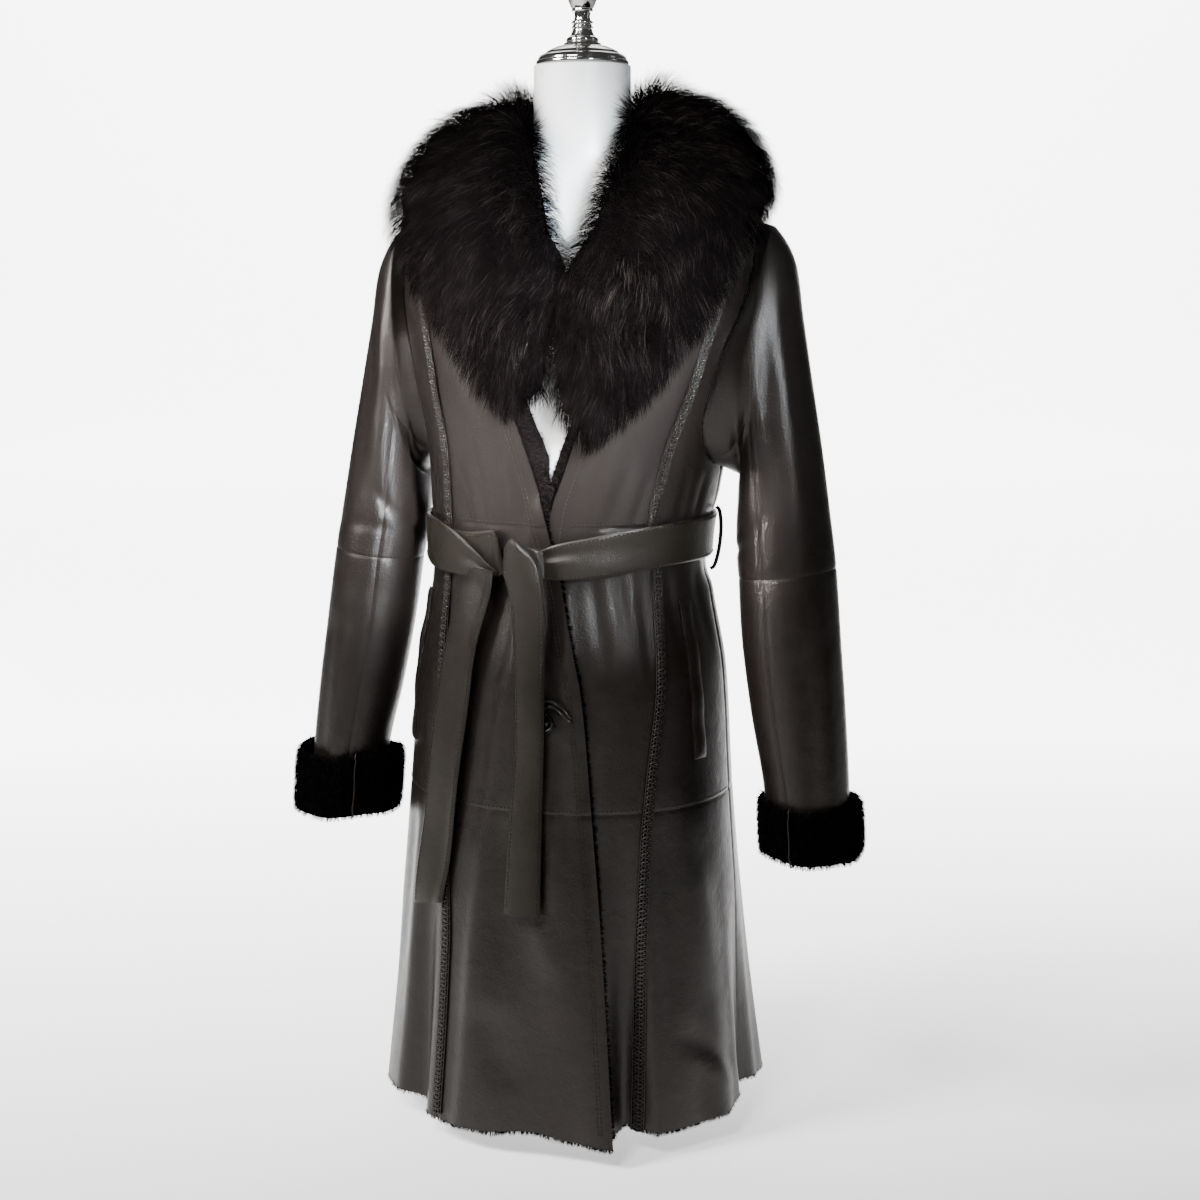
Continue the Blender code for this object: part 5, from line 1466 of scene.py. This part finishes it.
def collar_skin(side_name):
    """The pad's surface as a grid: along the collar, and round its section from foot to foot."""
    lobe = LOBES[side_name]
    tree = BVHTree.FromPolygons(*node_shape(f"collar_{side_name}"))
    place = np.linspace(0.02, lobe.last - 0.12, 64)
    across = np.linspace(0.02, 0.98, 25)
    directions = collar_direction(lobe, *np.meshgrid(place, across, indexing="ij"))
    top = filled_and_softened(feel(tree, directions, True), 2)
    foot = filled_and_softened(feel(tree, directions, False), 1)
    narrow = 0.07 + 0.04 * smooth_step((place - 7.5) / 1.5)
    round_angle = np.linspace(-0.42, math.pi + 0.42, 41)
    swing = np.cos(round_angle)
    climb = np.sin(round_angle)
    sweep = 0.5 - 0.5 * np.sign(swing) * np.abs(swing) ** 0.72
    inner = narrow - 0.17 * by_the_gap(lobe, place, 0.5)
    a = mix(inner[:, None], 1.0 - narrow[:, None], sweep[None, :])
    tops = np.stack([np.interp(row, across, line) for row, line in zip(a, top)])
    feet = np.stack([np.interp(row, across, line) for row, line in zip(a, foot)])
    deep = np.maximum(tops - HAIR_DEPTH - feet, 0.004)
    share = np.clip((place - (lobe.last - 0.75)) / 0.68, 0.0, 1.0)
    end = np.sqrt(1.0 - share ** 2)[:, None]
    height = np.clip(np.abs(climb) ** 0.55 * np.sign(climb), -0.05, 1.0)[None, :]
    radius = feet + 0.0012 + deep * np.clip(height, 0.0, 1.0) * mix(0.35, 1.0, end)
    ways = collar_direction(lobe, place[:, None] + 0.0 * a, a)
    skin = HEART + ways * radius[..., None]
    return skin, place, tree, lobe


def grid_normals(skin, side):
    rise, run = np.gradient(skin, axis=0), np.gradient(skin, axis=1)
    return unit(np.cross(rise, run) * side)


def sampled(rng, skin, fields, count, weight=None):
    """Random spots spread evenly over a grid's area, with other grids read at the same spots."""
    edge_a = skin[1:, :-1] - skin[:-1, :-1]
    edge_b = skin[:-1, 1:] - skin[:-1, :-1]
    area = np.linalg.norm(np.cross(edge_a, edge_b), axis=-1)
    if weight is not None:
        area = area * weight[:-1, :-1]
    total = np.cumsum(area.ravel())
    cell = np.searchsorted(total, rng.uniform(0.0, total[-1], count))
    i, j = np.unravel_index(np.minimum(cell, area.size - 1), area.shape)
    u, v = rng.uniform(0, 1, (2, count))

    def read(grid):
        u_share = u[:, None] if grid.ndim == 3 else u
        v_share = v[:, None] if grid.ndim == 3 else v
        return mix(mix(grid[i, j], grid[i + 1, j], u_share),
                   mix(grid[i, j + 1], grid[i + 1, j + 1], u_share), v_share)

    return [read(grid) for grid in [skin] + fields]


def node_shape(name):
    """A CAD piece's merged points and faces in the shared frame."""
    bm = bmesh.new()
    bm.from_mesh(nodes[name].data)
    bm.transform(nodes[name].matrix_world)
    bmesh.ops.remove_doubles(bm, verts=bm.verts, dist=MERGE)
    bm.verts.index_update()
    shape = ([vertex.co.copy() for vertex in bm.verts],
             [[vertex.index for vertex in face.verts] for face in bm.faces])
    bm.free()
    return shape


def pad_mesh(name, skin):
    """The pad itself, from its grid of points."""
    rows, columns = skin.shape[:2]
    flat = skin.reshape(-1, 3)

    def place(a, b):
        i = np.clip(np.rint(b * (rows - 1)).astype(int), 0, rows - 1)
        j = np.clip(np.rint(a * columns).astype(int), 0, columns) % columns
        return flat[i * columns + j]

    return carried_grid(name, columns, rows - 1, place, UNDERFUR, close_columns=True)


def outside_by(tree, spots):
    """How far points lie outside a closed shape; inside counts as nought."""
    out = np.zeros(len(spots))
    for i, spot in enumerate(spots):
        point = Vector(spot)
        near, normal, _, distance = tree.find_nearest(point)
        if near is not None and (point - near).dot(normal) > 0.0:
            out[i] = distance
    return out


NECK_CLEAR = 0.0518


def off_the_neck(spots):
    """Keeps hair out of the form's neck."""
    radius = np.linalg.norm(spots[..., :2], axis=-1)
    short = np.clip(NECK_CLEAR - radius, 0.0, None) * smooth_step((spots[..., 2] - 0.985) / 0.02)
    away = spots[..., :2] / np.maximum(radius, 1e-6)[..., None]
    spots[..., :2] += away * short[..., None]


LONG_HAIRS = 20500          # in each of the collar's four patches of hair


def collar_fur(side_name, seed):
    rng = np.random.default_rng(seed)
    skin, place, tree, lobe = collar_skin(side_name)
    normals = grid_normals(skin, lobe.side)
    middle = skin[len(skin) // 2, skin.shape[1] // 2]
    if np.dot(normals[len(skin) // 2, skin.shape[1] // 2], middle - HEART) < 0:
        normals = -normals
    outward = unit(np.gradient(skin, axis=1))
    tipward = unit(np.gradient(skin, axis=0))
    section = np.linspace(0.0, 1.0, skin.shape[1])[None, :, None]
    fall = smooth_step((place - 4.2) / 4.2)[:, None, None]
    lie = outward * (1.0 - 0.45 * fall) + tipward * (0.12 + 0.75 * fall)
    back_again = smooth_step((0.24 - section) / 0.16)
    lie = unit(mix(lie, -outward * 0.25 + tipward * (0.5 + 0.3 * fall), back_again))
    pad = pad_mesh(f"collar_pad_{side_name}", skin)
    keep(pad, f"collar_{side_name}")
    for patch in (0, 1):
        roots, normal, flow, where, across = sampled(
            rng, skin, [normals, lie, place[:, None] + 0.0 * section[..., 0],
                        section[..., 0] + 0.0 * place[:, None]], LONG_HAIRS)
        normal, flow = unit(normal), unit(flow)
        swirl = (0.22 * np.sin(roots[:, 0] * 61.0 + roots[:, 2] * 47.0 + 1.3)
                 + 0.18 * np.sin(roots[:, 1] * 83.0 - roots[:, 2] * 71.0))
        flow = unit(flow + np.cross(normal, flow) * swirl[:, None])
        length = rng.uniform(0.028, 0.044, LONG_HAIRS)
        length = length * mix(1.0, 0.85, smooth_step((where - 7.0) / 2.0))
        spots = grown(rng, roots, normal, flow, length, (0.8, 0.6, 0.3, 0.92), 4, 0.14)
        tufts = rng.choice(LONG_HAIRS, 3000, replace=False)
        leader = tufted(rng, spots, tufts, 0.66)
        inner = smooth_step((0.22 - across) / 0.12)
        gap = inner * by_the_gap(lobe, where, 0.4)
        crest = smooth_step((roots[:, 2] - 1.03) / 0.04)
        allowed = rng.uniform(0.006, 0.018, LONG_HAIRS) * (1.0 + 1.1 * gap + 0.4 * crest)
        beyond = np.clip(outside_by(tree, spots[:, -1]) - allowed, 0.0, None)
        keep_share = np.clip(1.0 - beyond / (length * 0.8), 0.35, 1.0)
        spots = roots[:, None] + (spots - roots[:, None]) * keep_share[:, None, None]
        off_the_neck(spots)
        # A random tone per hair and per tuft; the highest values reach the pale colour, which paints
        # the fur's highlight streaks.
        tone = rng.uniform(0.0, 0.45, LONG_HAIRS) + 0.45 * rng.uniform(0, 1, LONG_HAIRS)[leader] ** 2
        radius = rng.uniform(0.00018, 0.00034, LONG_HAIRS)
        hair = ribbons(rng, f"collar_hair_{side_name}_{patch}", spots, normal, LONG_HAIR, radius,
                       tone, LONG_FUR)
        keep(hair, None)


collar_fur("left", 11)
collar_fur("right", 12)
print("collar fur has grown")

# %% Cuffs: short, dense and brushed downwards, with a seam at the front
Cuff = namedtuple("Cuff", "side shift half_width low_z high_z")
CUFFS = {"left": Cuff(1, 0.0, 0.0555, 0.313, 0.372),
         "right": Cuff(-1, -0.0045, 0.0615, 0.3205, 0.391)}
CUFF_PART = {"left": -1.75, "right": -2.0}      # where the seam is, in radians round the cuff
CUFF_X, CUFF_Y, CUFF_DEPTH, CUFF_THICK = 0.259, -0.0505, 0.056, 0.0095
SHORT_HAIRS = 17000


def cuff_skin(cuff, inset):
    rows = np.linspace(0.0, 1.0, 97)[:-1]
    ring = np.linspace(0.0, 1.0, 33)[:-1]
    turn = math.tau * rows[:, None] * cuff.side
    lap = math.tau * ring[None, :]
    half = CUFF_THICK / 2.0
    outwards = half * fuller(np.cos(lap)) - half - inset * np.maximum(np.cos(lap), 0.0) ** 0.5
    middle = (cuff.low_z + cuff.high_z) / 2.0
    height = (cuff.high_z - cuff.low_z) / 2.0 - inset * 0.7
    waver = 0.0016 * np.sin(2.0 * turn + 0.7) + 0.001 * np.sin(5.0 * turn)
    z = middle + waver + height * np.sign(np.sin(lap)) * np.abs(np.sin(lap)) ** 0.55
    swell = 0.0012 * np.sin(3.0 * turn + 1.0) * np.maximum(np.cos(lap), 0.0)
    x = (cuff.half_width + outwards + swell) * np.cos(turn)
    y = (CUFF_DEPTH + outwards + swell) * np.sin(turn)
    lean = (z - middle) * 0.06
    return np.stack([cuff.side * (CUFF_X + cuff.shift + x - lean), CUFF_Y + y + lean, z], axis=-1)


def cuff_fur(side_name, seed):
    rng = np.random.default_rng(seed)
    cuff = CUFFS[side_name]
    skin = cuff_skin(cuff, 0.0034)
    pad = carried_ring(f"cuff_pad_{side_name}", skin)
    keep(pad, f"cuff_{side_name}")
    loop = np.concatenate([skin, skin[:1]], axis=0)
    loop = np.concatenate([loop, loop[:, :1]], axis=1)
    normals = grid_normals(loop, cuff.side)
    heart = skin.mean(axis=(0, 1))
    outer = loop[:, 0] - heart
    if (normals[:, 0] * outer).sum() < 0:
        normals = -normals
    outside = np.cos(np.linspace(0.0, math.tau, loop.shape[1])) > -0.25
    weight = np.broadcast_to(np.where(outside, 1.0, 0.12), loop.shape[:2])
    roots, normal = sampled(rng, loop, [normals], SHORT_HAIRS, weight)
    normal = unit(normal)
    flow = unit(LEAN_DOWN - normal * (normal @ LEAN_DOWN)[:, None])
    part = np.arctan2(roots[:, 1] - heart[1], (roots[:, 0] - heart[0]) * cuff.side)
    away = part - CUFF_PART[side_name]
    sideways = unit(np.cross(normal, flow))
    lean = np.sign(away) * np.exp(-(away / 0.06) ** 2)
    flow = unit(flow + sideways * lean[:, None] * cuff.side * -1.2)
    length = rng.uniform(0.005, 0.0072, SHORT_HAIRS)
    spots = grown(rng, roots, normal, flow, length, (0.75, 0.45, 0.4, 0.8), 3, 0.13, 0.1)
    leader = tufted(rng, spots, rng.choice(SHORT_HAIRS, 2600, replace=False), 0.28)
    tone = rng.uniform(0.0, 0.45, SHORT_HAIRS) + 0.4 * rng.uniform(0, 1, SHORT_HAIRS)[leader] ** 2
    radius = rng.uniform(0.00026, 0.00042, SHORT_HAIRS)
    hair = ribbons(rng, f"cuff_hair_{side_name}", spots, normal, SHORT_HAIR, radius, tone, SHORT_FUR)
    keep(hair, None)


def carried_ring(name, skin):
    rows, columns = skin.shape[:2]

    def place(a, b):
        i = np.rint(b * rows).astype(int) % rows
        j = np.rint(a * columns).astype(int) % columns
        return skin[i, j]

    return carried_grid(name, columns, rows, place, UNDERFUR, close_columns=True, close_rows=True)


cuff_fur("left", 21)
cuff_fur("right", 22)
# %% The seam that closes each cuff, from its upper to its lower edge
for side_name, cuff in CUFFS.items():
    ring = cuff_skin(cuff, -0.001)
    row = int(round(CUFF_PART[side_name] * cuff.side % math.tau / math.tau * len(ring)))
    path = ring[row, np.arange(8, -9, -1)]
    path = path + 0.0004 * np.sin(np.arange(17) * 1.7)[:, None]
    keep(cord_mesh(f"cuff_seam_{side_name}", [path], 0.0008, BELT_LEATHER), None)
print("cuff fur has grown")

# %% Raw edges: the pile shows along the hem, the front edges and inside the open neck
def edge_pile(name, seed, roots, normals, flow, length):
    rng = np.random.default_rng(seed)
    count = len(roots)
    roots = roots + rng.normal(0.0, 0.0007, roots.shape)
    spots = grown(rng, roots, normals, flow, length * rng.uniform(0.6, 1.25, count),
                  (0.25, 0.95, 0.15, 0.9), 3, 0.28, 0.15)
    tufted(rng, spots, rng.choice(count, max(count // 12, 1), replace=False), 0.6)
    tone = rng.uniform(0.0, 0.8, count)
    hair = ribbons(rng, name, spots, normals, SHORT_HAIR, rng.uniform(0.00022, 0.00038, count), tone,
                   SHORT_FUR)
    return keep(hair, None)


rng = np.random.default_rng(31)
HEM_HAIRS = 8000
hem_angle = rng.uniform(0.0, 360.0, HEM_HAIRS)
hem_turn = around(hem_angle)
hem_over = (hem_turn > front_seam_right(HEM_Z)) & (hem_turn < over_edge(HEM_Z))
hem_z = HEM_Z + hem_rise(hem_turn) + 0.0006
hem_lift = np.where(hem_over, over_lift(hem_turn, hem_z), 0.0)
hem_lift = hem_lift - rng.uniform(0.0006, 0.003, HEM_HAIRS)
hem_root = np.where(hem_over[:, None], coat_point(hem_turn, hem_z, hem_lift, True),
                    coat_point(hem_turn, hem_z, hem_lift, False))
edge_pile("hem_pile", 32, hem_root, tube_normal(hem_turn, hem_z),
          np.broadcast_to(LEAN_DOWN, hem_root.shape), 0.0055)

# %% The pile inside the open neck: a strip along each edge that turns in towards the form
def neck_facing(name, edge, way, over, width):
    low_z, high_z = 0.662, 0.89

    def place(a, b, depth):
        z = mix(low_z, high_z, b)
        share = 0.45 + 0.33 * over * smooth_step((0.701 - z) / 0.012)
        room = np.clip((under_edge(z) - over_edge(z)) * share, 0.0, None)
        turn = np.minimum(np.degrees(width / SECTIONS(z)[1]), room) * a - 0.8 * (1.0 - a)
        deep = 0.0046 * (1.0 - 0.8 * over * smooth_step((0.704 - z) / 0.012))
        lift = (over_lift(over_edge(z), z) if over else 0.0) - 0.0016 - deep * smooth_step(a)
        return plain_coat_point(edge(z) + way * turn, z, lift - depth)

    piece = slab(name, place, np.linspace(0.0, 1.0, 9), np.linspace(0.0, 1.0, 60), PILE, PILE,
                 0.0014)
    declare_sheet(keep(piece, None))
    return place


over_place = neck_facing("neck_facing_right", over_edge, 1.0, True, 0.016)
under_place = neck_facing("neck_facing_left", under_edge, -1.0, False, 0.011)

rng = np.random.default_rng(33)
edge_root, edge_normal, edge_flow = [], [], []
for edge, over, way, count, low in ((over_edge, True, 1.0, 3500, HEM_Z + 0.01),
                                    (under_edge, False, -1.0, 1500, 0.5)):
    z = rng.uniform(low, 0.9, count)
    angle = edge(z)
    lift = (over_lift(angle, z) if over else 0.0) - rng.uniform(0.0012, 0.003, count)
    root = coat_point(angle, z, lift, over)
    ahead = coat_point(angle + way, z, lift, over) - root
    edge_root.append(root)
    edge_normal.append(-tube_normal(angle, z))
    edge_flow.append(unit(ahead))
for place, count in ((over_place, 3600), (under_place, 2400)):
    a, b = rng.uniform(0.0, 1.0, (2, count))
    still = np.zeros(count)
    root = place(a, b, still)
    edge_root.append(root)
    edge_normal.append(unit(root - place(a, b, still + 0.001)))
    edge_flow.append(unit(place(a + 0.02, b, still) - place(a - 0.02, b, still)))
edge_pile("front_edge_pile", 34, np.concatenate(edge_root), np.concatenate(edge_normal),
          np.concatenate(edge_flow), 0.0042)
print("raw edges have their pile")

# %% [markdown]
# ## Floor, light and camera
# A studio cut-out look: a pale floor that runs into a pale background. One large light stands at the
# front left and a softer one in front; two narrow ones put a sheen on the chest, and weak ones at the
# right and behind draw the outline. The camera stands where the photograph was taken: 2 m away, a
# little to the wearer's left.
# The paper glows and lights the object itself; its glow is painted weak near the object, a painted
# shadow round its foot.

# %% The paper sweep
TURN = 17.0                 # how far the camera stands round to the wearer's left
SWEEP_END, SWEEP_CURVE, SWEEP_HALF_WIDTH = 7.0, 2.5, 5.0


def sweep_paint():
    """White paper that glows as a light itself. The glow is painted weak in front of the object and
    near its foot, a painted shadow there, and it stops outside a wedge round the view and above about
    3 m.
    """
    made = Finish("Glowing paper sweep", Emission_Strength=6.0)
    made.feed("Base Color", made.blend(made.noise(1.5, 2.0), (0.87, 0.87, 0.87), (0.9, 0.9, 0.9)))
    made.feed("Roughness", made.spread(made.noise(8.0), 0.3, 0.7, 0.75, 0.9))
    depth = made.node("ShaderNodeSeparateXYZ", Vector=made.here(), output=1)
    aside = made.node("ShaderNodeMath", {"operation": "ABSOLUTE"},
                      n0=made.node("ShaderNodeSeparateXYZ", Vector=made.here(), output=0))
    # Painted shadow: the glow is weak in front of the object and near it, and full from 1.6 m behind
    # it.
    painted_glow_by_depth = made.blend(made.spread(depth, -0.35, 1.6), (0.05, 0.05, 0.05), (1.0, 1.0, 1.0))
    wedge = made.spread(aside + depth * -0.32, 0.7, 0.84)
    height = made.node("ShaderNodeSeparateXYZ", Vector=made.here(), output=2)
    low = made.blend(made.spread(height, 2.7, 3.3), painted_glow_by_depth, (0.0, 0.0, 0.0))
    made.feed("Emission Color", made.blend(wedge, low, (0.0, 0.0, 0.0)))
    return made.material


def sweep_point(a, b):
    """Flat floor from in front of the object, a quarter circle and a wall."""
    run = mix(-6.0, 16.0, b)
    turn = np.clip((run - SWEEP_END) / SWEEP_CURVE, 0.0, math.pi / 2.0)
    rise = np.clip(run - SWEEP_END - SWEEP_CURVE * math.pi / 2.0, 0.0, None)
    depth = np.minimum(run, SWEEP_END) + SWEEP_CURVE * np.sin(turn)
    return np.stack([mix(-SWEEP_HALF_WIDTH, SWEEP_HALF_WIDTH, a), depth,
                     SWEEP_CURVE * (1.0 - np.cos(turn)) + rise], axis=-1)


bm = bmesh.new()
bmesh.ops.create_grid(bm, x_segments=4, y_segments=110, size=0.5)
flat = np.array([vertex.co for vertex in bm.verts]) + 0.5
for vertex, spot in zip(bm.verts, sweep_point(flat[:, 0], flat[:, 1])):
    vertex.co = spot
sweep = finished_mesh("studio_sweep", bm, sweep_paint(), sharp=80.0)
sweep.rotation_euler = (0.0, 0.0, math.radians(TURN))


# %% Lights
def area_light(name, place, target, size, power, tint=(1.0, 1.0, 1.0)):
    light = bpy.data.lights.new(name, "AREA")
    light.shape = "RECTANGLE"
    light.size, light.size_y = size
    light.energy = power
    light.color = tint
    lamp = placed(name, light)
    lamp.location = place
    lamp.rotation_euler = (Vector(target) - Vector(place)).to_track_quat("-Z", "Y").to_euler()
    return lamp


area_light("key_left", (-2.1, -1.7, 2.6), (0.0, 0.0, 0.85), (0.8, 1.0), 205.0, (1.0, 0.98, 0.95))
area_light("front_soft", (-0.35, -1.7, 2.3), (0.0, 0.0, 0.98), (0.7, 0.4), 52.0, (0.96, 0.98, 1.0))
for name, place, power, tint in (("chest_left", (-1.55, -1.55, 1.4), 1.5, (1.0, 0.97, 0.95)),
                                 ("chest_right", (1.25, -1.6, 1.4), 4.6, (0.84, 0.92, 1.0))):
    chest = area_light(name, place, (-0.01, -0.14, 0.84), (0.22, 0.26), power, tint)
    chest.data.spread = math.radians(13.0)
area_light("rim_right", (2.6, 0.6, 1.9), (0.0, 0.0, 0.85), (0.5, 1.2), 1.5, (0.94, 0.97, 1.0))
area_light("top_back", (-0.6, 1.8, 2.8), (0.0, 0.0, 0.85), (1.6, 0.8), 12.0)

world = bpy.data.worlds.new("Studio")
world.use_nodes = True
backdrop = world.node_tree.nodes["Background"]
backdrop.inputs["Color"].default_value = (1.0, 1.0, 1.0, 1.0)
backdrop.inputs["Strength"].default_value = 0.06
bpy.context.scene.world = world

# %% Camera
DISTANCE, HEIGHT, PITCH = 2.03, 0.91, 9.9
FOCAL_PIXELS, FRAME_PIXELS, AXIS_OFF_CENTRE = 1920.0, 1200.0, 17.0
heading = math.radians(TURN) - math.atan(AXIS_OFF_CENTRE / FOCAL_PIXELS)
lens = bpy.data.cameras.new("photo_camera")
lens.sensor_width = 36.0
lens.lens = FOCAL_PIXELS * lens.sensor_width / FRAME_PIXELS
camera = placed("photo_camera", lens)
camera.location = (DISTANCE * math.sin(math.radians(TURN)),
                   -DISTANCE * math.cos(math.radians(TURN)), HEIGHT)
camera.rotation_euler = (math.radians(90.0 - PITCH), 0.0, heading)
bpy.context.scene.camera = camera
print("camera at", [round(value, 3) for value in camera.location])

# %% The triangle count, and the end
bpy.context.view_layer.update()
triangles = {piece.name: sum(len(face.vertices) - 2 for face in piece.data.polygons)
             for piece in bpy.data.objects if piece.type == "MESH"}
print("triangles in all", sum(triangles.values()), "largest", max(triangles.values()))
